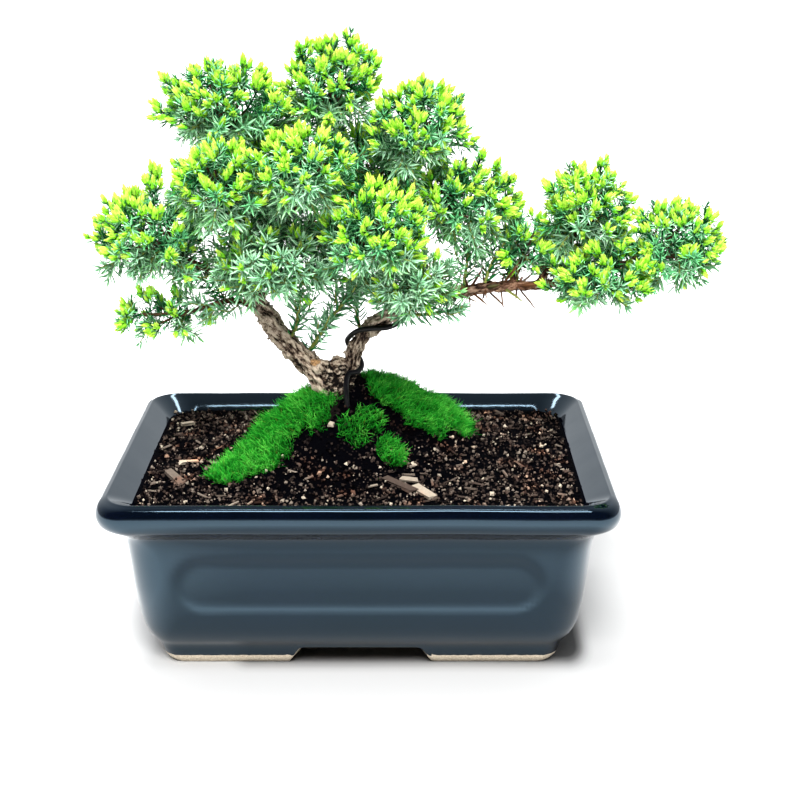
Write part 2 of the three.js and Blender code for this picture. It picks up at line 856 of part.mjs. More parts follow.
// A spray grows as one closed surface. Every stem is a chain of three-point rings, each ring
// turned a sixth of a turn from the last, and a bud ends it. A band between two rings has three
// faces that point up the stem: each stays flat, rises into a needle, or carries a side shoot.
class Spray {
  constructor(walls, obstacles) {
    this.walls = walls;
    this.obstacles = [...obstacles];
    this.points = [];
    this.triangles = [];
    this.faces = [];
    this.stems = 0;
  }

  addRing(curve, share, radius, turn) {
    const middle = curve.getPointAt(share);
    const { side, over } = this.crossing(curve, share);
    for (let k = 0; k < 3; k++) {
      const angle = turn + (2 * k * Math.PI) / 3;
      this.points.push(
        middle
          .clone()
          .addScaledVector(side, radius * Math.cos(angle))
          .addScaledVector(over, radius * Math.sin(angle)),
      );
    }
  }

  crossing(curve, share) {
    const tangent = curve.getTangentAt(share);
    const run = curve.getPointAt(1).sub(curve.getPointAt(0));
    const level = Math.abs(run.z) < 0.8 * run.length() ? AXIS_Z : AXIS_X;
    const side = new THREE.Vector3().crossVectors(tangent, level).normalize();
    return { tangent, side, over: new THREE.Vector3().crossVectors(tangent, side) };
  }

  // Adds a stem that starts on a face of another stem, or from a flat end of its own.
  addStem(curve, bareLength, face, turn = 0) {
    const stem = ++this.stems;
    const length = curve.getLength();
    const leafyShare = 1 - BUD_LENGTH / length;
    const whorls = Math.max(2, Math.round((length - BUD_LENGTH) / WHORL_SPACING));
    let startTurn = turn;
    let rings = [];
    if (face) {
      const { side, over } = this.crossing(curve, 0);
      const first = this.points[face.corners[0]].clone().sub(face.centre);
      startTurn = Math.atan2(first.dot(over), first.dot(side));
      rings = [face.corners];
      face.taken = true;
    }
    for (let whorl = rings.length; whorl <= whorls + 1; whorl++) {
      const inBud = whorl > whorls;
      const share = inBud ? leafyShare + BUD_BELLY * (1 - leafyShare) : (leafyShare * whorl) / whorls;
      const radius = inBud ? BUD_RADIUS : STEM_RADIUS * (1 - (0.3 * whorl) / whorls);
      const start = this.points.length;
      this.addRing(curve, share, radius, startTurn + (whorl * Math.PI) / 3);
      rings.push([start, start + 1, start + 2]);
    }
    const apex = this.points.push(curve.getPointAt(1)) - 1;
    if (!face) this.triangles.push([rings[0][0], rings[0][2], rings[0][1]]);
    for (let k = 0; k < 3; k++) {
      this.triangles.push([rings.at(-1)[k], rings.at(-1)[(k + 1) % 3], apex]);
    }
    for (let band = 0; band <= whorls; band++) {
      const share = (leafyShare * (band + 0.4)) / whorls;
      for (let k = 0; k < 3; k++) {
        const next = (k + 1) % 3;
        this.triangles.push([rings[band][next], rings[band + 1][next], rings[band + 1][k]]);
        this.addFace([rings[band][k], rings[band][next], rings[band + 1][k]], curve, share, {
          stem,
          leafy: band < whorls && share * length > bareLength,
          branching: band > 0 && share < LAST_BRANCHING,
        });
      }
    }
    const stemRadius = (share) => (share > leafyShare ? BUD_RADIUS : STEM_RADIUS) + CLEARANCE;
    this.obstacles.push(...spotsAlong(curve, stemRadius, stem));
  }

  addFace(corners, curve, share, traits) {
    const centre = new THREE.Vector3();
    corners.forEach((corner) => centre.addScaledVector(this.points[corner], 1 / 3));
    const tangent = curve.getTangentAt(share);
    const outward = centre.clone().sub(curve.getPointAt(share));
    outward.addScaledVector(tangent, -outward.dot(tangent)).normalize();
    this.faces.push({ corners, centre, tangent, outward, taken: false, ...traits });
  }

  // Grows a side shoot towards a point, from the open face that reaches it best.
  addSideShoot(wanted) {
    const choices = this.faces
      .filter((face) => face.branching && !face.taken)
      .map((face) => {
        const run = wanted.clone().sub(face.centre);
        const launch = face.outward.clone().add(face.tangent).normalize();
        const distance = run.length();
        return { face, launch, distance, facing: run.dot(launch) / distance };
      })
      .filter(({ distance, facing }) => distance > SHORTEST_SHOOT && facing > LEAST_FACING)
      .sort((a, b) => a.distance * (2 - a.facing) - b.distance * (2 - b.facing));
    for (const { face, launch, distance } of choices) {
      const tip = keptInside(wanted, face.centre, this.walls, BUD_RADIUS + GAP);
      if (tip.distanceTo(face.centre) < SHORTEST_SHOOT) continue;
      const bend = face.centre.clone().addScaledVector(launch, 0.4 * distance);
      const curve = new THREE.QuadraticBezierCurve3(
        face.centre.clone(),
        keptInside(bend, face.centre, this.walls, BUD_RADIUS + GAP),
        tip,
      );
      if (isClear(spotsAlong(curve, () => BUD_RADIUS, 0, 3), this.obstacles, [])) {
        this.addStem(curve, SIDE_SHOOT_BARE, face);
        return;
      }
    }
  }

  // Raises a needle from each open leafy face, shortened where it would meet other foliage.
  addNeedles() {
    for (const face of this.faces) {
      if (face.taken) continue;
      const tip = face.leafy ? this.needleTip(face) : null;
      const [a, b, c] = face.corners;
      if (!tip) {
        this.triangles.push([a, b, c]);
        continue;
      }
      const apex = this.points.push(tip) - 1;
      this.triangles.push([a, b, apex], [b, c, apex], [c, a, apex]);
    }
  }

  needleTip({ centre, outward, tangent, stem }) {
    for (let length = NEEDLE_LENGTH; length > SHORTEST_NEEDLE; length *= 0.8) {
      const far = centre
        .clone()
        .addScaledVector(outward, length * Math.cos(NEEDLE_LEAN))
        .addScaledVector(tangent, length * Math.sin(NEEDLE_LEAN));
      const tip = keptInside(far, centre, this.walls);
      const line = new THREE.LineCurve3(centre, tip);
      const spots = spotsAlong(line, (share) => NEEDLE_ROOT * (1 - share), stem, 0.4);
      if (isClear(spots, this.obstacles, [stem])) {
        this.obstacles.push(...spots);
        return tip;
      }
    }
    return null;
  }

  solid() {
    return solidOf(
      this.points.map((point) => point.toArray()),
      this.triangles,
    );
  }
}

// Directions spread evenly over a sphere, from the top down to the lowest height wanted.
function spreadDirections(count, turn) {
  return Array.from({ length: count }, (_, k) => {
    const height = 1 - ((k + 0.5) / count) * (1 - LOWEST_SHOOT);
    const across = Math.sqrt(1 - height * height);
    const angle = turn + k * GOLDEN_ANGLE;
    return new THREE.Vector3(across * Math.cos(angle), across * Math.sin(angle), height);
  });
}

// One pad: a stem that continues its branch through the pad's middle to the outside, and side
// shoots to points spread over the pad's outside.
function makePad(name, sites, number, obstacles) {
  const { centre, half, shoots, branch } = PADS[name];
  const walls = borders(name, sites);
  const random = seeded(100 + number);
  const middle = new THREE.Vector3(...centre);
  const size = new THREE.Vector3(...half);
  const entry = new THREE.Vector3(...branch.at(-1).slice(0, 3));
  const tips = spreadDirections(shoots, 2 * Math.PI * random()).map((direction) =>
    direction.multiply(size).multiplyScalar(0.94 + 0.06 * random()).add(middle),
  );
  const onward = middle.clone().sub(entry);
  const straightness = (tip) => tip.clone().sub(entry).angleTo(onward);
  tips.sort((a, b) => straightness(a) - straightness(b));
  const lead = keptInside(tips[0], middle, walls, BUD_RADIUS + GAP);
  const bend = entry.clone().lerp(middle, 0.6);
  const curve = new THREE.QuadraticBezierCurve3(entry, bend, lead);
  const spray = new Spray(walls, obstacles);
  spray.addStem(curve, LEAD_BARE, null, random());
  tips.slice(1).forEach((tip) => spray.addSideShoot(tip));
  spray.addNeedles();
  return spray.solid();
}

function makeSprig(name, sites, obstacles) {
  const points = SPRIGS[name].map((point) => new THREE.Vector3(...point));
  const spray = new Spray(borders(name, sites), obstacles);
  spray.addStem(new THREE.CatmullRomCurve3(points), LEAD_BARE, null);
  spray.addNeedles();
  return spray.solid();
}

function foliageSites() {
  const sites = {};
  for (const [name, { centre, half }] of Object.entries(PADS)) {
    const reach = (half[0] + half[1] + half[2]) / 3;
    sites[name] = { centre: new THREE.Vector3(...centre), reach };
  }
  for (const [name, points] of Object.entries(SPRIGS)) {
    sites[name] = { centre: new THREE.Vector3(...points[1]), reach: SPRIG_REACH };
  }
  return sites;
}

// The wood and wire as spots that needles and side shoots keep clear of.
function woodSpots() {
  const limbs = [LEFT_TRUNK, RIGHT_TRUNK, ...Object.values(PADS).map(({ branch }) => branch)];
  const wood = limbs.flatMap((stations) => {
    const curve = curveOf(stations);
    const radiusAt = (share) => radiusAlong(stations, curve, share) * (1 + BARK_RELIEF) + 2 * GAP;
    return spotsAlong(curve, radiusAt, 0);
  });
  return [...wood, ...spotsAlong(wireRoute(), () => WIRE_RADIUS + 2 * GAP, 0)];
}

// Materials and assembly

function material(color, roughness, metalness = 0) {
  return new THREE.MeshStandardMaterial({ color, roughness, metalness, flatShading: true });
}

const GLAZE = material(0x0c1420, 0.12);
const SOIL = material(0x1c1512, 0.95);
const MOSS = material(0x2f8f1e, 0.9);
const BARK = material(0x5b4a3f, 0.85);
const WIRE = material(0x111214, 0.45, 0.3);
const PLASTIC = material(0x20242a, 0.6);
const NEEDLES = material(0x4f9a62, 0.55);

function meshOf(name, solid, look) {
  const { vertProperties, triVerts } = solid.getMesh();
  const geometry = new THREE.BufferGeometry();
  geometry.setAttribute("position", new THREE.BufferAttribute(vertProperties, 3));
  geometry.setIndex(new THREE.BufferAttribute(triVerts, 1));
  const mesh = new THREE.Mesh(geometry, look);
  mesh.name = name;
  return mesh;
}

function makeBonsai() {
  const bonsai = new THREE.Group();
  const grid = soilGrid();
  const roomForTree = makeTree(GAP);
  const roomForWire = makeWire(GAP);
  const room = [roomForTree, roomForWire];

  bonsai.add(meshOf("pot", makePot(), GLAZE));
  bonsai.add(meshOf("drain_screen_left", makeScreen(-1), PLASTIC));
  bonsai.add(meshOf("drain_screen_right", makeScreen(1), PLASTIC));
  bonsai.add(meshOf("soil", makeSoil(grid, [...room, screenRoom(-1), screenRoom(1)]), SOIL));
  for (const [name, discs] of Object.entries(MOSS_MATS)) {
    bonsai.add(meshOf(name, makeMoss(grid, discs, room), MOSS));
  }
  bonsai.add(meshOf("tree", makeTree(), BARK));
  bonsai.add(meshOf("wire", makeWire(), WIRE));

  const sites = foliageSites();
  const obstacles = woodSpots();
  const clear = (foliage) => largestBody(foliage.subtract(roomForTree).subtract(roomForWire));
  Object.keys(PADS).forEach((name, number) => {
    bonsai.add(meshOf(name, clear(makePad(name, sites, number, obstacles)), NEEDLES));
  });
  for (const name of Object.keys(SPRIGS)) {
    bonsai.add(meshOf(name, clear(makeSprig(name, sites, obstacles)), NEEDLES));
  }
  return bonsai;
}

const bonsai = makeBonsai();
const middle = new THREE.Box3().setFromObject(bonsai).getCenter(new THREE.Vector3());
bonsai.position.set(-middle.x, -middle.y, 0);

const group = new THREE.Group();
group.add(bonsai);

export default group;
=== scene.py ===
"""A small juniper bonsai in a glazed pot: fine pieces, materials, light and camera.

Shapes are worked out in millimetres with the pot's middle over the origin, and place()
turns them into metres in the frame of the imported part.
"""

import math

import bmesh
import bpy
import numpy as np
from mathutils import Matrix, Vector, noise
from mathutils.kdtree import KDTree


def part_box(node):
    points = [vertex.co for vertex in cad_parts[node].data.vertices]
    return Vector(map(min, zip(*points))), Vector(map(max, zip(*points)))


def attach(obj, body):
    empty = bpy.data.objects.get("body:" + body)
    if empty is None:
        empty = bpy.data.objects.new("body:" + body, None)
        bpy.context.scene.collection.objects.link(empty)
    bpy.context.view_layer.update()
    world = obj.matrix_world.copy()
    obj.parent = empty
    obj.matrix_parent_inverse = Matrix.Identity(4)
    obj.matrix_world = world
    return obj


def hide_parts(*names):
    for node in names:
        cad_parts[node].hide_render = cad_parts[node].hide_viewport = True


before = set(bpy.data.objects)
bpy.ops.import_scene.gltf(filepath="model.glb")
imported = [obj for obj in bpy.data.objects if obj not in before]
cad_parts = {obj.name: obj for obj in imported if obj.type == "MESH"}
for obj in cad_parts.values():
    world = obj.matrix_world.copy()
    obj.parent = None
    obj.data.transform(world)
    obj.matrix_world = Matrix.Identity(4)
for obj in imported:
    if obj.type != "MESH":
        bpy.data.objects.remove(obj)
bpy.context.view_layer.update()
POT_LOW, POT_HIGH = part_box("pot")
SHIFT_X = 500 * (POT_LOW.x + POT_HIGH.x)

WOOD_SEED = 7
SOIL_SEED = 41
MOSS_SEED = 60
PAD_SEED = 200
SPRIG_SEED = 400

# Pot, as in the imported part. Profiles: inset from the rim's edge, height, corner radius
POT_LENGTH = 203
POT_DEPTH = 150
OUTER_PROFILE = [
    (24.4, 0, 6), (22, 2.8, 7), (19.4, 9.6, 8), (16.6, 12.8, 11), (14, 17.5, 14), (12.3, 24, 16),
    (11, 34, 16), (9, 56, 14), (7.4, 60.6, 13), (4.2, 63.2, 12), (1.2, 65.8, 12), (0, 69, 12),
    (0, 71.6, 12), (1.2, 74.6, 12), (3.6, 76, 12),
]
CREST = [(3.8, 76.12, 12), (4.2, 76.1, 12)]
INNER_PROFILE = [
    (4.4, 76, 12), (9.4, 72.6, 12), (13, 69.6, 12), (15.2, 67, 12), (16, 60, 13), (17.6, 42, 14),
    (19.5, 26, 14), (22.5, 18, 14), (27, 15, 14),
]
FLOOR_TOP = 15
FLOOR_UNDERSIDE = 8.5
FOOT_THICKNESS = 9
FOOT_STEP_TOP = 12.8
FRONT_GAP = (22.5, 30)
SIDE_GAP = (14.5, 22)
DRAIN_RADIUS = 8
DRAIN_OFFSET = 42
DRAIN_SIDES = 24
PANEL_HALF_LENGTH = 73
PANEL_LOW = 27
PANEL_HIGH = 52
PANEL_DEPTH = 1.2
CLAY_BAND = 4.0
# Mesh steps round each corner, and along the long and the short sides
RIM_STEPS = (10, 84, 58)

# Soil and moss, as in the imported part. Humps: x, y, height, spread in x and in y. Chips: x, y,
# turn, length, width and how pale. Moss: discs of x, y and radius
BED_HEIGHT = 70
BED_INSET = 12.9
BED_CORNER = 12
BED_GRID = (134, 94)
CRUMB_COUNT = 9600
SLIVER_COUNT = 240
HUMPS = [(-8, 5, 29, 24, 24), (25, 22, 13, 20, 18), (-38, -2, 5, 18, 18)]
LARGE_CHIPS = [
    (16, -42, -38, 17, 3.2, 0.36),
    (26, -47, -50, 13, 4, 0.74),
    (20, -38, 4, 8, 3, 0.7),
    (-12, -18, 80, 5, 2.4, 0.85),
    (-79, 40, 40, 7, 2, 0.8),
    (-72, -13, 35, 9, 1.8, 0.85),
    (-75, -28, -50, 12, 4, 0.5),
]
MOSS_THICKNESS = 3.4
MOSS_MATS = {
    "moss_left": [(-25, -7, 14.5), (-33, -13, 15), (-43, -22, 13), (-53, -28, 10)],
    "moss_right": [(14, 4, 12), (23, 6, 14), (34, 13, 13), (12, 16, 14)],
    "moss_front": [(-3, -19, 7), (3, -14, 6.5)],
    "moss_tuft": [(12, -24, 6.5)],
}
BLADES_PER_MM2 = {"moss_left": 4.6, "moss_right": 4.6, "moss_front": 3, "moss_tuft": 4.6}

# Wood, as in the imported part: x, y, z and radius at each station
TRUNK = [
    (-9, 3, 78, 8.5), (-10, 2, 88, 8.6), (-11, 1, 96, 8), (-12, 0, 103, 6.4), (-13, 0, 108, 4.6),
]
LEFT_TRUNK = [
    (-12, 0, 100, 5.8), (-19, -1, 108, 4.8), (-29, -2, 119.5, 3.9), (-36, -3, 129, 3.5),
    (-41, -3, 137, 3.2), (-43, -2, 147, 2.8), (-39, 0, 156, 2.6), (-34, 2, 164, 2.4),
]
RIGHT_TRUNK = [
    (-10, 0, 100, 4.6), (-5.5, 0, 108, 3.4), (-3, 0, 117, 3.1), (1.5, 0, 125, 3.1),
    (9, 0, 130.5, 3), (19, 0, 135.5, 2.7), (30, 0, 140, 2.5), (42, 0, 142.6, 2.3),
    (56, 0, 144.4, 2.1), (73, 0, 145, 1.9), (88, 1, 148, 1.6),
]
PRUNED_STUB = [(-15, 0, 108, 3.4), (-18.5, -4.5, 113, 3.2)]
CROTCH = [(-16, 0, 106, 4.2), (-11, -1, 110.2, 3.8), (-5.5, 0, 110, 3.2)]
ROOT_COUNT = 5
ROOT_REACH = 27
LIMB_STEP = 1.2
WOOD_VOXEL = 0.00057
WIRE_RADIUS = 1.1
WIRE_GAP = 0.3
WIRE_QUARTERS = [9.5, 13, 17, 22, 32, 42, 50, 57, 61, 66, 72]
WIRE_TAIL = [(-4, -10, 89), (-6, -9, 98)]

# Foliage pads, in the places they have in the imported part: middle, half sizes, then the branch
# that carries it, with its radius at each station
PADS = {
    "crown_left": ((-55, 4, 218), (26, 21, 17), [
        (-35, 2, 162, 2), (-41, 3, 178, 1.7), (-47, 4, 192, 1.4), (-51, 4, 203, 1.1),
    ]),
    "crown_top": ((-11, 8, 226), (20, 19, 19), [
        (-34, 2, 163, 2.2), (-27, 4, 180, 1.8), (-18, 7, 196, 1.5), (-13, 8, 211, 1.1),
    ]),
    "crown_right": ((25, 4, 209), (19, 20, 20), [
        (-19, 7, 194, 1.4), (-4, 6, 195, 1.3), (12, 5, 200, 1),
    ]),
    "mid_right": ((41.5, 6, 179), (21.5, 20, 17.5), [
        (-33, 2, 165, 1.8), (-15, 4, 170, 1.6), (6, 5, 172, 1.3), (24, 6, 174, 1),
    ]),
    "front_left": ((-55, -24, 191), (18, 18, 18), [
        (-40, 0, 156, 1.6), (-44, -8, 166, 1.4), (-50, -17, 177, 1),
    ]),
    "front_centre": ((-22, -29, 197), (20, 19, 17), [
        (-31, 3, 171, 1.5), (-28, -8, 179, 1.3), (-25, -19, 186, 1),
    ]),
    "front_right": ((9, -28, 172), (19, 19, 20), [
        (-33, 1, 166, 1.5), (-18, -10, 168, 1.3), (-5, -20, 168, 1),
    ]),
    "low_right": ((21, -20, 149), (16, 15, 12), [
        (20, 0, 136, 1.5), (20, -8, 139, 1.2), (20, -13, 143, 1),
    ]),
    "left": ((-86, -6, 167), (22, 20, 21), [
        (-42, -3, 142, 1.8), (-55, -5, 149, 1.5), (-70, -6, 157, 1.1),
    ]),
    "low_left": ((-84, -6, 133), (19, 13, 8.5), [
        (-41, -3, 136, 1.6), (-53, -4, 139.5, 1.3), (-67, -6, 136, 1),
    ]),
    "inner": ((-35, -17, 157), (27, 14, 16), [
        (-43, -2, 148, 1.4), (-41, -6, 150, 1.2), (-39, -11, 152, 1),
    ]),
    "back_left": ((-48, 33, 190), (26, 20, 19), [
        (-37, 3, 160, 1.6), (-43, 16, 172, 1.3), (-47, 26, 180, 1),
    ]),
    "back_right": ((3, 34, 189), (24, 20, 20), [
        (-15, 4, 170, 1.4), (-8, 16, 176, 1.2), (-2, 26, 181, 1),
    ]),
    "right_top": ((91, 2, 177), (18, 19, 18), [
        (72, 0, 145, 1.5), (79, 2, 154, 1.2), (86, 2, 164, 1),
    ]),
    "right_tip": ((128, 0, 162), (19, 19, 19), [
        (86, 1, 147.5, 1.6), (99, 1, 151, 1.3), (113, 0, 156, 1),
    ]),
    "right_low": ((97, -12, 150), (21, 15, 13), [
        (84, 0.5, 147, 1.3), (88, -4, 146, 1.1), (92, -8, 145, 1),
    ]),
    "right_near": ((68, 6, 160), (12, 12, 13), [
        (60, 0, 144.5, 1.3), (64, 3, 149, 1.1), (66, 5, 153, 1),
    ]),
    "right_back": ((92, 22, 157), (21, 14, 15), [
        (80, 0, 146, 1.3), (84, 8, 149, 1.1), (88, 14, 152, 1),
    ]),
}
SPRIGS = {
    "sprig_fork": [(-23, -1, 115), (-13, -5, 131), (-1, -8, 147)],
    "sprig_trunk_left": [(-30, -2, 122), (-26, -5, 130), (-27, -6, 140)],
    "sprig_trunk_right": [(0, 1, 124), (-2, 4, 133), (-1, 6, 145)],
    "sprig_branch_low": [(14, 0, 133), (26, -6, 134), (42, -9, 138)],
    "sprig_branch_middle": [(42, 0, 142), (43, -2, 153), (45, -3, 166)],
    "sprig_branch_outer": [(50, 0, 143.5), (54, 3, 154), (61, 5, 165)],
}

# Where shoots leave a sprig, as shares of its length
SPRIG_SHOOTS = {
    "sprig_fork": (0.3, 0.4, 0.5, 0.58, 0.66, 0.73, 0.8, 0.86, 0.91, 0.96, 0.99),
    "sprig_branch_middle": (0.3, 0.45, 0.55, 0.65, 0.75, 0.85),
    "sprig_branch_outer": (0.25, 0.4, 0.5, 0.6, 0.7, 0.8, 0.9),
}

# Bare stretches of wood with dead needles on them, and the sprig that they are made with
DEAD_STRETCHES = {
    "sprig_branch_outer": (RIGHT_TRUNK, 52, 98),
    "sprig_trunk_left": (LEFT_TRUNK, 49, 66),
}

# The middles of the crown and of the right branch's foliage, and the pads that lie in shade
HEARTS = np.array([(-25, 0, 178), (95, 0, 158)], float)
SHADED = ("inner", "low_right")
SPARSE = ("low_left", "right_near")
# Twigs and shoots of a pad with this mean half size
PAD_TWIGS = 9
PAD_SHOOTS = 50
PAD_SIZE = 19
GOLDEN_ANGLE = math.pi * (3 - math.sqrt(5))

# Heights on the foliage's colour map, from dead needles up to ripe buds, and its levels
ROW_DEAD = 0.04
ROW_WOOD = 0.09
ROW_STEM = 0.145
# Dark needles inside the pads, painted as shade
ROW_SHADE = 0.22
ROW_MATURE = 0.42
ROW_PALE = 0.6
ROW_YOUNG = 0.76
ROW_BUD = 0.92
LEVELS = 64
# A needle's colour at each height, and that of the pale band along its upper face, partly its
# own pale stripe and partly a painted highlight
NEEDLE_COLORS = [
    (0.0, (0.12, 0.04, 0.02), (0.34, 0.16, 0.07)),
    (0.07, (0.2, 0.08, 0.04), (0.42, 0.24, 0.13)),
    (0.1, (0.08, 0.05, 0.03), (0.14, 0.1, 0.06)),
    (0.15, (0.5, 0.56, 0.13), (0.5, 0.6, 0.16)),
    (0.2, (0.002, 0.07, 0.022), (0.02, 0.2, 0.09)),
    (0.42, (0.02, 0.22, 0.05), (0.22, 0.66, 0.3)),
    (0.6, (0.22, 0.44, 0.24), (0.52, 0.76, 0.6)),
    (0.76, (0.1, 0.6, 0.03), (0.26, 0.8, 0.12)),
    (0.86, (0.36, 0.95, 0.035), (0.48, 0.97, 0.08)),
    (1.0, (0.8, 1.0, 0.16), (0.95, 1.0, 0.34)),
]

# Rings of the two shapes of needle: how far along it, then breadth and depth, both for width 1
NEEDLE_SECTIONS = {
    "short": [(0.4, 1.0, 0.4)],
    "long": [(0.22, 0.85, 0.4), (0.6, 0.9, 0.34)],
}

# A bud's four whorls: lean, how far below the tip, length, width, how fresh
BUD_WHORLS = [
    (27, 2.9, 3.8, 1.55, -0.08),
    (21, 2.2, 3.9, 1.6, -0.03),
    (14, 1.4, 3.6, 1.45, 0.02),
    (8, 0.7, 2.9, 1.2, 0.06),
]

# Floor in metres: half its width, half the size of the feet's outline, and how pale the floor is
# at a distance from that: a painted shadow at the feet and painted brighter light further away
FLOOR_REACH = 14.0
FEET_HALF = (0.064, 0.036, 0)
FLOOR_PAINTED_SHADING = [(0.0175, 0.03), (0.023, 0.25), (0.029, 0.4), (0.085, 0.41), (0.16, 0.93)]

# Camera, from a fit to the outline of the pot in the photograph
CAMERA_SPOT = (16.02, -622.53, 295.74)
CAMERA_DIP = 17.83
CAMERA_LENS = 70.12


def unit(vectors):
    """The same directions with length one."""
    vectors = np.asarray(vectors, float)
    return vectors / np.maximum(np.linalg.norm(vectors, axis=-1, keepdims=True), 1e-9)


def mix(a, b, share):
    return a + (b - a) * share


def between(value, share):
    """A number as it is, or what lies at a share of the way from a pair's first to its second."""
    return mix(*value, share) if isinstance(value, tuple) else value


def smooth(share):
    """A soft step from 0 to 1."""
    share = np.clip(share, 0, 1)
    return share * share * (3 - 2 * share)


def relief(points, size, octaves=3, seed=0.0):
    """Seamless lumpy noise, about -1 to 1, with features of a size in millimetres."""
    offset = Vector((seed * 17.3, seed * 5.1, seed * 9.7))
    return np.array([noise.fractal(Vector(p) / size + offset, 1.0, 2.0, octaves) for p in points])


def place(points):
    """Millimetres about the pot's middle to metres in the part's frame."""
    return (np.asarray(points, float) + np.array([SHIFT_X, 0, 0])) * 0.001


# Meshes


def put_in_scene(name, data):
    """A new object that shows a mesh, a light or a camera."""
    made = bpy.data.objects.new(name, data)
    bpy.context.scene.collection.objects.link(made)
    return made


def add_piece(name, mesh, material, node):
    """Puts a piece in the scene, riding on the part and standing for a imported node."""
    mesh.materials.clear()
    mesh.materials.append(material)
    piece = put_in_scene(name, mesh)
    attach(piece, "root")
    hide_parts(node)
    return piece


def store(mesh, name, kind, field, values):
    """Keeps a value for each of the mesh's points, for the materials to read."""
    layer = mesh.attributes.new(name, kind, "POINT")
    layer.data.foreach_set(field, np.asarray(values).astype(np.float32).ravel())


def mesh_of(name, points, faces, corner_uv=None, is_smooth=True):
    """A mesh from millimetre points and an array of triangles or quads."""
    faces = np.asarray(faces, np.int32)
    sides = faces.shape[1]
    mesh = bpy.data.meshes.new(name)
    mesh.vertices.add(len(points))
    mesh.vertices.foreach_set("co", place(points).astype(np.float32).ravel())
    mesh.loops.add(faces.size)
    mesh.loops.foreach_set("vertex_index", faces.ravel())
    mesh.polygons.add(len(faces))
    mesh.polygons.foreach_set("loop_start", np.arange(0, faces.size, sides, dtype=np.int32))
    mesh.polygons.foreach_set("loop_total", np.full(len(faces), sides, np.int32))
    mesh.polygons.foreach_set("use_smooth", np.full(len(faces), is_smooth))
    if corner_uv is not None:
        layer = mesh.uv_layers.new(name="OFBake")
        layer.data.foreach_set("uv", np.asarray(corner_uv, np.float32).ravel())
    mesh.update(calc_edges=True)
    mesh.validate()
    return mesh


def ring_faces(ring_count, sides):
    """Quads between successive closed rings of points."""
    ring, k = np.meshgrid(np.arange(ring_count - 1), np.arange(sides), indexing="ij")
    here = ring * sides + k
    beside = ring * sides + (k + 1) % sides
    return np.stack([here, beside, beside + sides, here + sides], -1).reshape(-1, 4)


def halves(quads):
    """Quads as two lots of triangles."""
    return [quads[:, [0, 1, 2]], quads[:, [0, 2, 3]]]


def joined(shapes):
    """Several shapes, each with its points and faces, as one."""
    starts = np.cumsum([0] + [len(points) for points, _ in shapes])
    faces = [faces + start for (_, faces), start in zip(shapes, starts)]
    return np.concatenate([points for points, _ in shapes]), np.concatenate(faces)


class Path:
    """A smooth curve through points, measured along its length."""

    def __init__(self, points, steps=24):
        points = [np.array(p[:3], float) for p in points]
        ends = [2 * points[0] - points[1], *points, 2 * points[-1] - points[-2]]
        line = [points[0]]
        for p0, p1, p2, p3 in zip(ends, ends[1:], ends[2:], ends[3:]):
            pairs = ((p0, p1), (p1, p2), (p2, p3))
            d0, d1, d2 = [max(np.linalg.norm(b - a) ** 0.5, 1e-4) for a, b in pairs]
            out = ((p1 - p0) / d0 - (p2 - p0) / (d0 + d1) + (p2 - p1) / d1) * d1
            into = ((p2 - p1) / d1 - (p3 - p1) / (d1 + d2) + (p3 - p2) / d2) * d1
            for step in range(1, steps + 1):
                t = step / steps
                cubic = 2 * p1 - 2 * p2 + out + into
                square = -3 * p1 + 3 * p2 - 2 * out - into
                line.append(p1 + out * t + square * t**2 + cubic * t**3)
        self.line = np.array(line)
        self.steps = steps
        paces = np.linalg.norm(np.diff(self.line, axis=0), axis=1)
        self.along = np.concatenate([[0], np.cumsum(paces)])
        self.length = self.along[-1]

    def at(self, along):
        return np.stack([np.interp(along, self.along, self.line[:, k]) for k in range(3)], -1)

    def tangent(self, along):
        near = 0.02 * self.length
        before, after = np.maximum(along - near, 0), np.minimum(along + near, self.length)
        return unit(self.at(after) - self.at(before))

    def radius(self, stations, along):
        """The stations' radii, and what lies between them."""
        return np.interp(along, self.along[:: self.steps], [station[3] for station in stations])


def frames_along(tangents):
    """Two directions across each tangent, which turn as little as they can."""
    side = np.cross(tangents[0], [0, 0, 1] if abs(tangents[0][2]) < 0.9 else [1, 0, 0])
    sides = []
    for tangent in tangents:
        side = unit(side - tangent * np.dot(side, tangent))
        sides.append(side)
    sides = np.array(sides)
    return sides, np.cross(tangents, sides)


def tube(centres, tangents, radii, sides):
    """Points of rings round a line."""
    across, over = frames_along(tangents)
    angles = (np.arange(sides) * 2 * math.pi / sides)[None, :, None]
    ring = np.cos(angles) * across[:, None] + np.sin(angles) * over[:, None]
    return centres[:, None] + ring * np.asarray(radii)[:, None, None]


def closed_tube(centres, tangents, radii, sides, bulge=(0, 0)):
    """Points and triangles of a tube whose ends are closed with low cones."""
    rings = tube(centres, tangents, radii, sides).reshape(-1, 3)
    tips = [centres[:1] - tangents[:1] * bulge[0], centres[-1:] + tangents[-1:] * bulge[1]]
    count, k = len(rings), np.arange(sides)
    end = count - sides
    caps = [
        np.stack([np.full(sides, count), (k + 1) % sides, k], -1),
        np.stack([np.full(sides, count + 1), end + k, end + (k + 1) % sides], -1),
    ]
    faces = [*halves(ring_faces(len(centres), sides)), *caps]
    return np.concatenate([rings, *tips]), np.concatenate(faces)


# Materials


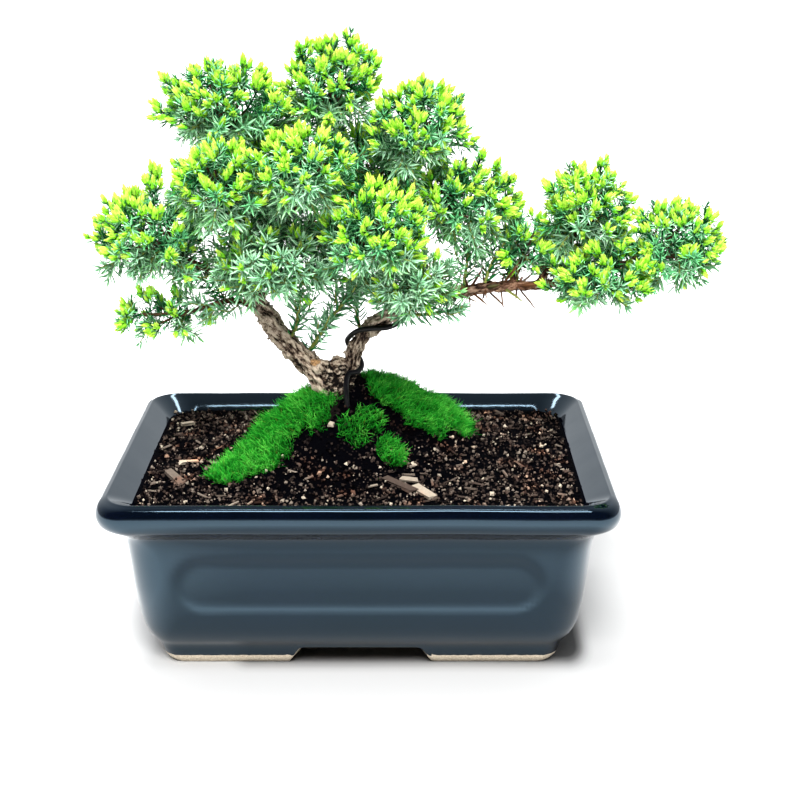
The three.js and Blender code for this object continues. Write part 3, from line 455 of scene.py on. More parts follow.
class Shader:
    """A small helper for wiring a Principled material."""

    def __init__(self, name, roughness, **inputs):
        self.material = bpy.data.materials.new(name)
        self.material.use_nodes = True
        self.tree = self.material.node_tree
        self.bsdf = self.tree.nodes["Principled BSDF"]
        self.bsdf.inputs["Roughness"].default_value = roughness
        for key, value in inputs.items():
            self.bsdf.inputs[key.replace("_", " ")].default_value = value

    def node(self, kind, **settings):
        made = self.tree.nodes.new("ShaderNode" + kind)
        for key, value in settings.items():
            setattr(made, key, value)
        return made

    def feed(self, socket, value):
        """Links a socket to another node, or sets it to a number or a colour."""
        if isinstance(value, tuple):
            socket.default_value = (*value, 1)
        elif isinstance(value, (int, float)):
            socket.default_value = value
        else:
            self.tree.links.new(value, socket)

    def noise(self, vector, scale, detail=3.0, roughness=0.55):
        made = self.node("TexNoise")
        values = {"Vector": vector, "Scale": scale, "Detail": detail, "Roughness": roughness}
        for name, value in values.items():
            self.feed(made.inputs[name], value)
        return made.outputs["Fac"]

    def ramp(self, factor, stops):
        """A colour ramp. A stop with a single number is grey."""
        made = self.node("ValToRGB")
        elements = made.color_ramp.elements
        for spot, _ in stops[2:]:
            elements.new(spot)
        for element, (spot, _) in zip(sorted(elements, key=lambda e: e.position), stops):
            element.position = spot
        for element, (_, color) in zip(elements, stops):
            element.color = (*(color if isinstance(color, tuple) else (color,) * 3), 1)
        self.feed(made.inputs["Fac"], factor)
        return made.outputs["Color"]

    def math(self, operation, *values):
        made = self.node("Math", operation=operation)
        for socket, value in zip(made.inputs, values):
            self.feed(socket, value)
        return made.outputs[0]

    def plus(self, value, other, share):
        """A value with a share of another added to it."""
        return self.math("ADD", value, self.math("MULTIPLY", other, share))

    def mix(self, factor, a, b, blend="MIX"):
        made = self.node("Mix", data_type="RGBA", blend_type=blend)
        for index, value in ((0, factor), (6, a), (7, b)):
            self.feed(made.inputs[index], value)
        return made.outputs[2]

    def position(self):
        return self.node("TexCoord").outputs["Object"]

    def stored(self, name, output="Fac"):
        """A value that the mesh keeps for each of its points."""
        return self.node("Attribute", attribute_name=name).outputs[output]

    def map_axes(self):
        """How far across and up the mesh's own map."""
        axes = self.node("SeparateXYZ")
        self.feed(axes.inputs[0], self.node("UVMap", uv_map="OFBake").outputs["UV"])
        return axes.outputs[0], axes.outputs[1]

    def color(self, source):
        self.feed(self.bsdf.inputs["Base Color"], source)

    def bump(self, height, distance, strength):
        made = self.node("Bump")
        self.feed(made.inputs["Height"], height)
        made.inputs["Distance"].default_value = distance
        made.inputs["Strength"].default_value = strength
        self.feed(self.bsdf.inputs["Normal"], made.outputs["Normal"])


def glaze_material():
    """Dark blue-black gloss glaze, with bare clay where the attribute says so."""
    s = Shader("glaze", 0.09, Specular_IOR_Level=0.76, Specular_Tint=(0.5, 0.78, 1, 1))
    spot = s.position()
    glaze = s.ramp(s.noise(spot, 28, 4), [(0.3, (0, 0.0005, 0.002)), (0.7, (0.0005, 0.001, 0.004))])
    grain = s.noise(spot, 1400, 3, 0.7)
    clay = s.ramp(grain, [(0.3, (0.5, 0.4, 0.28)), (0.7, (0.85, 0.74, 0.58))])
    bare = s.ramp(s.plus(s.stored("clay"), s.noise(spot, 260), 0.5), [(0.7, 0), (0.8, 1)])
    s.color(s.mix(bare, glaze, clay))
    s.feed(s.bsdf.inputs["Roughness"], s.ramp(bare, [(0, 0.07), (1, 0.85)]))
    s.bump(s.plus(s.noise(spot, 45, 2), s.noise(spot, 700), 0.06), 0.00035, 0.35)
    return s.material


def soil_material():
    """Black-brown earth whose crumbs and chips go up to pale wood with their tone; the bed between
    them, at tone nought, is painted near black as shade.
    """
    s = Shader("soil", 0.95, Specular_IOR_Level=0.02)
    spot = s.position()
    # Tone nought, the bed's surface between the crumbs, comes out near black: painted shade in the
    # gaps
    earth = s.ramp(s.plus(s.stored("tone"), s.noise(spot, 900, 4, 0.7), 0.22), [
        (0.14, (0.0007, 0.0007, 0.0012)), (0.3, (0.015, 0.011, 0.01)),
        (0.5, (0.066, 0.047, 0.038)), (0.75, (0.19, 0.155, 0.125)), (1.0, (0.46, 0.39, 0.3)),
    ])
    rusty = s.ramp(s.noise(spot, 75), [(0.52, 1), (0.68, (1.3, 0.85, 0.7))])
    s.color(s.mix(1.0, earth, rusty, "MULTIPLY"))
    s.bump(s.noise(spot, 1100, 4, 0.7), 0.0004, 0.7)
    return s.material


def bark_material():
    """Grey-brown flaky bark that turns red-brown on thin branches, with soil stuck to its foot and
    painted shade in the hollows of its relief.
    """
    s = Shader("bark", 0.85, Specular_IOR_Level=0.1)
    grain = s.stored("grain", "Vector")
    marks = s.node("SeparateColor")
    s.feed(marks.inputs[0], s.stored("marks", "Color"))
    age, cut, dirt = marks.outputs
    # The hollows of the bark's relief are painted darker, as shade
    flakes = s.plus(s.noise(grain, 0.9, 6, 0.72), s.stored("painted_crevice_shade"), -0.16)
    old = s.ramp(flakes, [
        (0.28, (0.004, 0.003, 0.003)), (0.36, (0.04, 0.025, 0.018)), (0.43, (0.19, 0.14, 0.1)),
        (0.54, (0.46, 0.38, 0.29)),
    ])
    young = s.ramp(flakes, [
        (0.34, (0.012, 0.006, 0.004)), (0.48, (0.1, 0.045, 0.026)), (0.66, (0.3, 0.18, 0.11)),
    ])
    wood = s.ramp(s.noise(grain, 2.2, 4), [(0.3, (0.09, 0.045, 0.02)), (0.7, (0.5, 0.3, 0.14))])
    bark = s.mix(cut, s.mix(age, young, old), wood)
    crumbs = s.plus(s.math("MULTIPLY", dirt, 0.4), s.noise(s.position(), 480, 4), 0.8)
    s.color(s.mix(s.ramp(crumbs, [(0.6, 0), (0.66, 1)]), bark, (0.006, 0.0045, 0.004)))
    s.bump(flakes, 0.0012, 0.8)
    return s.material


def wire_material():
    s = Shader("training wire", 0.42, Specular_IOR_Level=0.25)
    spot = s.position()
    blacks = [(0.35, (0.001, 0.001, 0.0015)), (0.7, (0.003, 0.003, 0.004))]
    s.color(s.ramp(s.noise(spot, 160), blacks))
    s.bump(s.noise(spot, 900), 0.0001, 0.4)
    return s.material


def screen_material():
    s = Shader("screen plastic", 0.5)
    spot = s.position()
    blacks = [(0.3, (0.012, 0.014, 0.016)), (0.7, (0.03, 0.034, 0.04))]
    s.color(s.ramp(s.noise(spot, 300), blacks))
    s.bump(s.noise(spot, 2000, 2), 0.0001, 0.3)
    return s.material


def moss_material():
    """Colour by the map: across for the height on a blade, painted dark as shade at its foot and
    painted lighter at its tip; up for how fresh the blade is.
    """
    s = Shader("moss", 0.65, Specular_IOR_Level=0.08)
    u, v = s.map_axes()
    fresh = s.ramp(v, [
        (0.0, (0.16, 0.08, 0.02)), (0.06, (0.006, 0.12, 0.008)), (0.5, (0.018, 0.34, 0.022)),
        (1.0, (0.15, 0.68, 0.08)),
    ])
    # Painted shade deep in the mat at the blades' feet, and painted light at their tips
    shade = s.ramp(u, [(0.0, (0.01, 0.03, 0.02)), (0.5, (0.4, 0.5, 0.4)), (1.0, (1.7, 1.45, 1.5))])
    s.color(s.mix(1.0, fresh, shade, "MULTIPLY"))
    return s.material


def needle_material():
    """Colour by the map: across for the place along a needle, its upper face in the left half,
    with painted shade towards its base and painted light towards its tip; up for the needle's kind,
    from dead and woody through the dark needles inside the pads, painted as shade, and blue-green
    to the buds; and within each level from edge to edge, for the pale bands, partly a painted
    highlight, and the midrib. The lower face is painted darker, as shade."""
    s = Shader("juniper needles", 0.45, Specular_IOR_Level=0.1)
    u, v = s.map_axes()
    green = s.ramp(v, [(height, color) for height, color, _ in NEEDLE_COLORS])
    band = s.ramp(v, [(height, color) for height, _, color in NEEDLE_COLORS])
    # The lower face is painted darker than the upper, as shade
    under = s.mix(0.35, green, (0.0, 0.012, 0.003))
    across = s.math("FRACT", s.math("MULTIPLY", v, LEVELS))
    # The pale band along the upper face: partly the needle's own stripe, partly a painted highlight
    upper = s.mix(s.ramp(across, [(0.32, 0), (0.42, 1), (0.58, 1), (0.68, 0)]), green, band)
    lower = s.mix(s.ramp(across, [(0.55, 0), (0.85, 0.5)]), under, green)
    needle = s.mix(s.math("GREATER_THAN", u, 0.5), upper, lower)
    # Painted shade towards each needle's base, and painted light, a little yellower, towards its
    # tip
    along = s.math("FRACT", s.math("MULTIPLY", u, 1.998))
    shade = s.ramp(along, [
        (0.0, (0.45, 0.5, 0.45)), (0.5, (0.92, 0.95, 0.92)), (0.85, (1.12, 1.1, 1.0)),
        (1.0, (1.35, 1.2, 0.8)),
    ])
    s.color(s.mix(1.0, needle, shade, "MULTIPLY"))
    return s.material


def floor_material():
    """White paper, with a painted shadow at the pot's feet and painted paler, as brighter light,
    further away.
    """
    s = Shader("floor", 0.75)
    # How far from the feet's outline, counted double to the sides
    away = s.position()
    for operation, value in (
        ("ABSOLUTE", (0, 0, 0)), ("SUBTRACT", FEET_HALF), ("MAXIMUM", (0, 0, 0)),
        ("MULTIPLY", (2, 1, 1)), ("LENGTH", (0, 0, 0)),
    ):
        step = s.node("VectorMath", operation=operation)
        s.feed(step.inputs[0], away)
        step.inputs[1].default_value = value
        away = step.outputs["Value" if operation == "LENGTH" else "Vector"]
    # Paler with distance from the feet: painted shadow close to them, painted light further out
    s.color(s.ramp(s.plus(away, s.noise(s.position(), 3, 2), 0.01), FLOOR_PAINTED_SHADING))
    return s.material


# Pot


def smooth_profile(stations, step, rim_step, rim_low):
    """The profile through the stations, at steps that are shorter above a height."""
    path = Path(stations)
    paces = np.diff(path.along) / np.where(path.line[1:, 1] > rim_low, rim_step, step)
    count = np.concatenate([[0], np.cumsum(paces)])
    even = np.linspace(0, count[-1], math.ceil(count[-1]) + 1)
    return path.at(np.interp(even, count, path.along))


def at_height(profile, heights):
    """Inset and corner radius of a rising profile at given heights."""
    return [np.interp(heights, profile[:, 1], profile[:, k]) for k in (0, 2)]


class Rim:
    """Points round a rounded rectangle, in the same order for every inset and radius."""

    def __init__(self, corner_steps, long_steps, short_steps):
        stops = []
        for corner, side_steps in enumerate((long_steps, short_steps) * 2):
            stops += [(corner, k / corner_steps, 0) for k in range(corner_steps)]
            stops += [(corner, 1, k / side_steps) for k in range(side_steps)]
        corner, turn, share = np.array(stops).T
        angle = (corner + turn) * math.pi / 2
        signs = np.array([(1, 1), (-1, 1), (-1, -1), (1, -1)])
        corner = corner.astype(int)
        self.middles = mix(signs[corner], signs[(corner + 1) % 4], share[:, None])
        self.ways = np.column_stack([np.cos(angle), np.sin(angle)])
        self.count = len(stops)

    def points(self, inset, z, radius):
        """inset, z and the corner radius are numbers, or arrays with one for each point."""
        each = np.zeros((self.count, 1))
        inset, z, radius = (each + np.reshape(value, (-1, 1)) for value in (inset, z, radius))
        half = np.array([POT_LENGTH, POT_DEPTH]) / 2 - inset
        return np.hstack([self.middles * (half - radius) + self.ways * radius, z])


def foot_lift(points):
    """How far the pot's lower edge rises between its feet."""
    front = 1 - smooth((np.abs(points[:, 0]) - FRONT_GAP[0]) / (FRONT_GAP[1] - FRONT_GAP[0]))
    side = 1 - smooth((np.abs(points[:, 1]) - SIDE_GAP[0]) / (SIDE_GAP[1] - SIDE_GAP[0]))
    on_front = np.abs(points[:, 1]) > POT_DEPTH / 4
    return FLOOR_UNDERSIDE * np.where(on_front, front, side)


def panel_depth(points):
    """The depth of the shallow panel in the front and back at each point of the wall."""
    middle = (PANEL_LOW + PANEL_HIGH) / 2
    radius = (PANEL_HIGH - PANEL_LOW) / 2
    beyond = np.maximum(np.abs(points[:, 0]) - (PANEL_HALF_LENGTH - radius), 0)
    away = np.hypot(beyond, points[:, 2] - middle) - radius
    on_front = np.abs(points[:, 1]) > POT_DEPTH / 2 - 17
    return PANEL_DEPTH * smooth((1.2 - away) / 5.2) * on_front


def floor_sheet(bm, rim_verts, drains, flip):
    """Fills a floor inside its rim, round the drain holes."""
    edges = []
    for ring in (rim_verts, *drains):
        for pair in zip(ring, ring[1:] + ring[:1]):
            edges.append(bm.edges.get(pair) or bm.edges.new(pair))
    made = bmesh.ops.triangle_fill(bm, use_beauty=True, use_dissolve=False, edges=edges)
    faces = [g for g in made["geom"] if isinstance(g, bmesh.types.BMFace)]
    for face in faces:
        face.normal_update()
        if (face.normal.z > 0) == flip:
            face.normal_flip()


def pot_rings(rim):
    """Points of the rings from the underside over the rim to the inside floor, and how far each
    point is bare clay."""
    rings, clay = [], []

    def add(inset, z, corner, bare):
        rings.append(rim.points(inset, z, corner))
        clay.append(np.zeros(rim.count) + bare)

    foot_inset, _, foot_corner = OUTER_PROFILE[0]
    lift = foot_lift(rim.points(foot_inset, 0, foot_corner))
    under_inset = foot_inset + FOOT_THICKNESS
    outer = smooth_profile(OUTER_PROFILE, 2.2, 1.0, 60)
    edge_inset, edge_corner = at_height(outer, lift)
    # Under the pot: the underside's edge, down to the foot, and out over the foot's sole
    for share in (1, 0.5, 0):
        add(under_inset, mix(lift, FLOOR_UNDERSIDE, share), foot_corner, 1)
    for share in (0.25, 0.5, 0.75, 0.92):
        corner = mix(foot_corner, edge_corner, share)
        add(mix(under_inset, edge_inset, share), lift, corner, 1)
    # The outer wall, its lowest part squeezed up between the feet
    for inset, z, corner in outer:
        squeezed = z + lift * max(0, 1 - z / FOOT_STEP_TOP)
        if z < FOOT_STEP_TOP:
            inset, corner = at_height(outer, squeezed)
        add(inset, squeezed, corner, np.clip((CLAY_BAND - squeezed) / 0.8 + 0.5, 0, 1))
        rings[-1][:, 1] -= np.sign(rings[-1][:, 1]) * panel_depth(rings[-1])
    for inset, z, corner in [*CREST, *smooth_profile(INNER_PROFILE, 4, 1.2, 66)]:
        add(inset, z, corner, 0)
    points = np.concatenate(rings)
    points[:, 2] += relief(points, 38, 2, 3) * 0.22 * smooth((points[:, 2] - 20) / 30)
    return points, np.concatenate(clay)


def make_pot(material):
    rim = Rim(*RIM_STEPS)
    points, clay = pot_rings(rim)
    bm = bmesh.new()
    layer = bm.verts.layers.float.new("clay")

    def add_vert(point, bare):
        vert = bm.verts.new(place(point))
        vert[layer] = float(bare)
        return vert

    verts = [add_vert(point, bare) for point, bare in zip(points, clay)]
    for face in ring_faces(len(points) // rim.count, rim.count)[:, ::-1]:
        bm.faces.new([verts[k] for k in face])
    angles = np.arange(DRAIN_SIDES) * 2 * math.pi / DRAIN_SIDES
    circle = DRAIN_RADIUS * np.column_stack([np.cos(angles), np.sin(angles), 0 * angles])
    drains = []
    for z in (FLOOR_UNDERSIDE, FLOOR_TOP):
        middles = [np.array([side * DRAIN_OFFSET, 0, z]) for side in (-1, 1)]
        drains.append([[add_vert(point, 1) for point in circle + middle] for middle in middles])
    for low, high in zip(*drains):
        for k in range(DRAIN_SIDES):
            after = (k + 1) % DRAIN_SIDES
            bm.faces.new([low[k], high[k], high[after], low[after]])
    floor_sheet(bm, verts[: rim.count], drains[0], True)
    floor_sheet(bm, verts[-rim.count :], drains[1], False)
    bmesh.ops.remove_doubles(bm, verts=bm.verts, dist=1e-5)
    for face in bm.faces:
        face.smooth = True
    mesh = bpy.data.meshes.new("glazed_pot")
    bm.to_mesh(mesh)
    bm.free()
    return add_piece("glazed_pot", mesh, material, "pot")


# Soil and moss


def mound_height(x, y):
    height = BED_HEIGHT + 0 * x
    for hump_x, hump_y, rise, spread_x, spread_y in HUMPS:
        away = ((x - hump_x) / spread_x) ** 2 + ((y - hump_y) / spread_y) ** 2
        height = height + rise * np.exp(-away / 2)
    return height


def crumb_relief(points):
    return relief(points, 5.5, 3, 1) * 1.05 + relief(points, 1.9, 2, 2) * 0.7


def moss_height(discs, x, y):
    """How far a mat stands over the soil, below zero outside it."""
    depths = [1 - ((x - dx) ** 2 + (y - dy) ** 2) / radius**2 for dx, dy, radius in discs]
    return MOSS_THICKNESS * np.minimum(np.max(depths, axis=0) * 2, 1 + 0.3 * np.sin(x) * np.cos(y))


def slab(rng, length, width, thickness):
    """The eight corners of a rough splinter of bark, and its faces."""
    corners = np.array([(i, j, k) for k in (-1, 1) for j in (-1, 1) for i in (-1, 1)], float)
    corners *= np.array([length, width, thickness]) / 2
    corners *= 1 + rng.uniform(-0.3, 0.15, corners.shape)
    corners[[1, 3, 5, 7], 1] += rng.uniform(-0.25, 0.25) * width
    faces = [(0, 2, 3, 1), (4, 5, 7, 6), (0, 1, 5, 4), (2, 6, 7, 3), (0, 4, 6, 2), (1, 3, 7, 5)]
    triangles = [t for a, b, c, d in faces for t in ((a, b, c), (a, c, d))]
    return corners, np.array(triangles)


def turned(points, spin, lean, tip):
    """Points turned about x by lean, about y by tip, then about z by spin."""
    cx, sx, cy, sy, cz, sz = (f(a) for a in (lean, tip, spin) for f in (math.cos, math.sin))
    about_x = np.array([[1, 0, 0], [0, cx, -sx], [0, sx, cx]])
    about_y = np.array([[cy, 0, sy], [0, 1, 0], [-sy, 0, cy]])
    about_z = np.array([[cz, -sz, 0], [sz, cz, 0], [0, 0, 1]])
    return points @ (about_z @ about_y @ about_x).T


def soil_bed(half_x, half_y):
    """The bed's uneven top, and the body of soil below it down to the pot's floor."""
    columns, rows = BED_GRID
    x, y = np.meshgrid(np.linspace(-half_x, half_x, columns), np.linspace(-half_y, half_y, rows))
    # Corners drawn in to the pot's rounded inside
    flat_x, flat_y = half_x - BED_CORNER, half_y - BED_CORNER
    over_x, over_y = np.maximum(np.abs(x) - flat_x, 0), np.maximum(np.abs(y) - flat_y, 0)
    excess = np.maximum(np.hypot(over_x, over_y) / BED_CORNER, 1)
    in_corner = (over_x > 0) & (over_y > 0)
    x = np.where(in_corner, np.sign(x) * (flat_x + over_x / excess), x)
    y = np.where(in_corner, np.sign(y) * (flat_y + over_y / excess), y)
    top = np.stack([x, y, mound_height(x, y)], -1).reshape(-1, 3)
    border = np.minimum(half_x - np.abs(top[:, 0]), half_y - np.abs(top[:, 1]))
    top[:, 2] += mix(0.5, crumb_relief(top), smooth(border / 3))
    a = (np.arange(rows - 1)[:, None] * columns + np.arange(columns - 1)).ravel()
    triangles = halves(np.stack([a, a + 1, a + columns + 1, a + columns], -1))
    edge = np.concatenate([
        np.arange(columns),
        np.arange(1, rows) * columns + columns - 1,
        (rows - 1) * columns + np.arange(columns - 2, -1, -1),
        np.arange(rows - 2, 0, -1) * columns,
    ])
    base = FLOOR_TOP + 0.4
    points = [top]
    for draw_in, z in ((0.97, 40), (0.9, base)):
        points.append(top[edge] * [draw_in, draw_in, 0] + [0, 0, z])
    points.append(np.array([[0, 0, base]]))
    upper = edge
    for ring in range(2):
        lower = len(top) + ring * len(edge) + np.arange(len(edge))
        upper_next, lower_next = np.roll(upper, -1), np.roll(lower, -1)
        triangles.append(np.stack([lower, lower_next, upper_next], -1))
        triangles.append(np.stack([lower, upper_next, upper], -1))
        upper = lower
    middle = np.full(len(edge), len(top) + 2 * len(edge))
    triangles.append(np.stack([middle, np.roll(upper, -1), upper], -1))
    return np.concatenate(points), np.concatenate(triangles)


def make_soil(material):
    rng = np.random.default_rng(SOIL_SEED)
    half_x, half_y = POT_LENGTH / 2 - BED_INSET, POT_DEPTH / 2 - BED_INSET
    # The bed's surface is tone nought, painted near black as shade between the crumbs
    shapes, shades = [soil_bed(half_x, half_y)], [0]

    def add(points, faces, shade):
        shapes.append((points, faces))
        shades.append(shade)

    def somewhere(margin):
        x = rng.uniform(-half_x + margin, half_x - margin)
        y = rng.uniform(-half_y + margin, half_y - margin)
        return np.array([x, y, mound_height(x, y)])

    octahedron = np.stack([np.eye(3), -np.eye(3)], 1).reshape(-1, 3)
    octahedron_faces = np.array([
        (0, 2, 4), (2, 1, 4), (1, 3, 4), (3, 0, 4), (2, 0, 5), (1, 2, 5), (3, 1, 5), (0, 3, 5),
    ])
    # Fine crumbs, darker and with fewer pale ones high on the mound, then slivers of bark and the
    # larger chips
    for _ in range(CRUMB_COUNT):
        size = 0.34 + 0.75 * rng.random() ** 2.2
        shape = octahedron * size * rng.uniform(0.6, 1.3, (6, 3))
        where = somewhere(1.2)
        # One below the mound's upper part, nought high on it, where crumbs are darker and seldom
        # pale
        off_mound = float(smooth((84 - where[2]) / 6))
        is_dark = rng.random() > 0.06 * off_mound
        shade = 0.54 * rng.random() ** 1.25 if is_dark else rng.uniform(0.6, 1.0)
        where[2] += size * 0.3 + rng.uniform(-0.1, 0.9)
        shade *= 1 + 0.75 * noise.noise(Vector(where) / 5)
        shape = turned(shape, *rng.uniform(0, 6, 3)) + where
        add(shape, octahedron_faces, shade * mix(0.45, 1.0, off_mound))
    for _ in range(SLIVER_COUNT):
        size = rng.uniform(1.6, 5.5), rng.uniform(0.5, 1.1), rng.uniform(0.4, 0.7)
        corners, faces = slab(rng, *size)
        where = somewhere(4)
        if where[2] > 76:
            continue
        corners = turned(corners, rng.uniform(0, 6.3), *rng.uniform(-0.4, 0.4, 2))
        add(corners + where + [0, 0, 1.1], faces, rng.uniform(0.14, 0.68))
    for x, y, turn, length, width, shade in LARGE_CHIPS:
        corners, faces = slab(rng, length, width, 1.4)
        where = np.array([x, y, mound_height(x, y) + 1.3])
        add(turned(corners, math.radians(turn), 0.15, 0.12) + where, faces, shade)
    mesh = mesh_of("potting_soil", *joined(shapes), is_smooth=False)
    tone = np.repeat(np.array(shades, float), [len(points) for points, _ in shapes])
    store(mesh, "tone", "FLOAT", "value", tone)
    return add_piece("potting_soil", mesh, material, "soil")


def blades(bases, directions, lengths, widths, bends, rows):
    """Three-sided curved blades. rows is each blade's place up the colour map."""
    count = len(bases)
    side = unit(np.cross(directions, [0.31, 0.17, 0.93]))
    over = np.cross(side, directions)
    points = np.zeros((count, 7, 3))
    for ring, share in enumerate((0.0, 0.55)):
        middle = bases + directions * (lengths * share)[:, None]
        middle = middle + bends * (lengths * share**2)[:, None]
        for k in range(3):
            angle = 2 * math.pi * k / 3
            arm = side * math.cos(angle) + over * math.sin(angle)
            points[:, ring * 3 + k] = middle + arm * (widths * (1 - 0.35 * share) / 2)[:, None]
    points[:, 6] = bases + directions * lengths[:, None] + bends * lengths[:, None]
    faces, along = [], []
    for k in range(3):
        n = (k + 1) % 3
        faces += [(k, n, 3 + n), (k, 3 + n, 3 + k), (3 + k, 3 + n, 6)]
        along += [(0, 0, 0.55), (0, 0.55, 0.55), (0.55, 0.55, 1)]
    faces, along = np.array(faces), np.array(along)
    all_faces = faces[None] + 7 * np.arange(count)[:, None, None]
    u = along[None] + np.zeros((count, 1, 1))
    # A blade's corners lie a little apart on the map, so that no face there is empty
    v = rows[:, None, None] + np.array([-0.006, 0.006, 0.0])[None, None] + np.zeros(u.shape)
    uv = np.stack([np.clip(u, 0.01, 0.99), np.clip(v, 0.006, 0.994)], -1)
    return points.reshape(-1, 3), all_faces.reshape(-1, 3), uv.reshape(-1, 2)


def make_moss(name, discs, seed, material):
    """A mat of blades, thinner towards its edge."""
    rng = np.random.default_rng(seed)
    disc_x, disc_y, radii = np.array(discs, float).T
    x0, x1 = disc_x.min() - radii.max(), disc_x.max() + radii.max()
    y0, y1 = disc_y.min() - radii.max(), disc_y.max() + radii.max()
    tries = int((x1 - x0) * (y1 - y0) * BLADES_PER_MM2[name])
    spots = np.stack([rng.uniform(x0, x1, tries), rng.uniform(y0, y1, tries)], -1)
    ragged = relief(np.column_stack([spots, np.zeros(tries)]), 6, 3, seed + 1) * 4
    height = moss_height(discs, *spots.T)
    is_inside = height > 0.5 + ragged
    spots, height = spots[is_inside], height[is_inside]
    count = len(spots)
    x, y = spots.T
    bases = np.column_stack([spots, mound_height(x, y) + np.maximum(height, 0) * 0.25])
    slope_x = mound_height(x + 1, y) - mound_height(x - 1, y)
    slope_y = mound_height(x, y + 1) - mound_height(x, y - 1)
    downhill = np.column_stack([-slope_x, -slope_y, np.zeros(count)]) * 0.35
    directions = unit(rng.normal(0, 0.42, (count, 3)) + downhill + [0, 0, 1])
    lengths = rng.uniform(1.6, 4.0, count) + 0.2 * height
    bends = rng.normal(0, 0.27, (count, 3)) + downhill * 0.5 - [0, 0, 0.12]
    tufts = relief(bases, 5, 2, seed + 2)
    fresh = np.clip(0.46 + 0.5 * tufts + rng.normal(0, 0.16, count), 0.1, 0.97)
    fresh[rng.random(count) < 0.012] = 0.02
    widths = rng.uniform(0.2, 0.36, count)
    mesh = mesh_of(name + "_tufts", *blades(bases, directions, lengths, widths, bends, fresh))
    return add_piece(name + "_tufts", mesh, material, name)


# Wood


def root_stations(turn):
    x, y = TRUNK[2][:2]
    stations = []
    for share in (0.1, 0.4, 0.7, 1):
        out_x, out_y = (share * ROOT_REACH * f(turn) for f in (math.cos, math.sin))
        stations.append((x + out_x, y + out_y, 97 - 25 * share**1.8, 4.2 - 3 * share))
    return stations


def all_limbs():
    limbs = [TRUNK, LEFT_TRUNK, RIGHT_TRUNK, PRUNED_STUB, CROTCH]
    limbs += [root_stations((k / ROOT_COUNT - 0.25) * 2 * math.pi) for k in range(ROOT_COUNT)]
    limbs += [branch for _, _, branch in PADS.values()]
    return limbs


def snags(rng):
    """Short dead stubs that stand out of the two trunks."""
    stubs = []
    for stations, count in ((LEFT_TRUNK, 13), (RIGHT_TRUNK, 15)):
        path = Path(stations)
        for k in range(count):
            along = path.length * (0.12 + 0.8 * (k + rng.random()) / count)
            tangent = path.tangent(along)
            out = unit(np.cross(tangent, rng.normal(size=3)))
            radius = path.radius(stations, along)
            start = path.at(along) + out * radius * 0.5
            way = out + tangent * rng.uniform(-0.2, 0.6)
            end = start + way * (radius * 0.5 + rng.uniform(0.8, 2.2))
            thick = rng.uniform(0.55, 1.0)
            stubs.append([(*start, thick), (*mix(start, end, 0.5), thick), (*end, thick * 0.7)])
    return stubs


def grown_wood(limbs):
    """The limbs and snags as one seamless mesh."""
    tubes = []
    for stations in limbs + snags(np.random.default_rng(WOOD_SEED)):
        path = Path(stations)
        along = np.linspace(0, path.length, max(3, round(path.length / LIMB_STEP)))
        radii = path.radius(stations, along)
        sides = 20 if radii.max() > 2.8 else 12
        tubes.append(closed_tube(path.at(along), path.tangent(along), radii, sides, (0.2, 0.3)))
    rough = mesh_of("rough_wood", *joined(tubes))
    holder = put_in_scene("rough_wood", rough)
    remesh = holder.modifiers.new("remesh", "REMESH")
    remesh.mode = "VOXEL"
    remesh.voxel_size = WOOD_VOXEL
    relax = holder.modifiers.new("relax", "SMOOTH")
    relax.factor = 0.5
    relax.iterations = 2
    graph = bpy.context.evaluated_depsgraph_get()
    mesh = bpy.data.meshes.new_from_object(holder.evaluated_get(graph), depsgraph=graph)
    bpy.data.objects.remove(holder)
    mesh.name = "bonsai_wood"
    return mesh


def bark_grain(limbs, points):
    """Each point's place along and round the grain of the nearest limb, and that limb's radius."""
    samples = []
    for stations in limbs:
        path = Path(stations)
        for along in np.arange(0, path.length, 1.0):
            radius = float(path.radius(stations, along))
            samples.append((path.at(along), path.tangent(along), along, radius))
    tree = KDTree(len(samples))
    for index, sample in enumerate(samples):
        tree.insert(Vector(sample[0]), index)
    tree.balance()
    grain = np.zeros_like(points)
    girth = np.zeros(len(points))
    for index, point in enumerate(points):
        found = min(tree.find_n(Vector(point), 6), key=lambda hit: hit[2] / samples[hit[1]][3])
        centre, tangent, along, radius = samples[found[1]]
        away = point - centre
        past = float(np.dot(away, tangent))
        grain[index] = away - tangent * past + tangent * (along + past) * 0.35
        girth[index] = radius
    return grain, girth


def cut_end(points):
    """One where the saw cut on the pruned stub is, and zero elsewhere."""
    (*low, _), (*high, radius) = PRUNED_STUB
    end = np.array(high)
    way = unit(end - np.array(low))
    beyond = (points - end) @ way
    around = np.linalg.norm((points - end) - beyond[:, None] * way, axis=1)
    return ((beyond > -0.5) & (around < radius * 0.55)).astype(float)


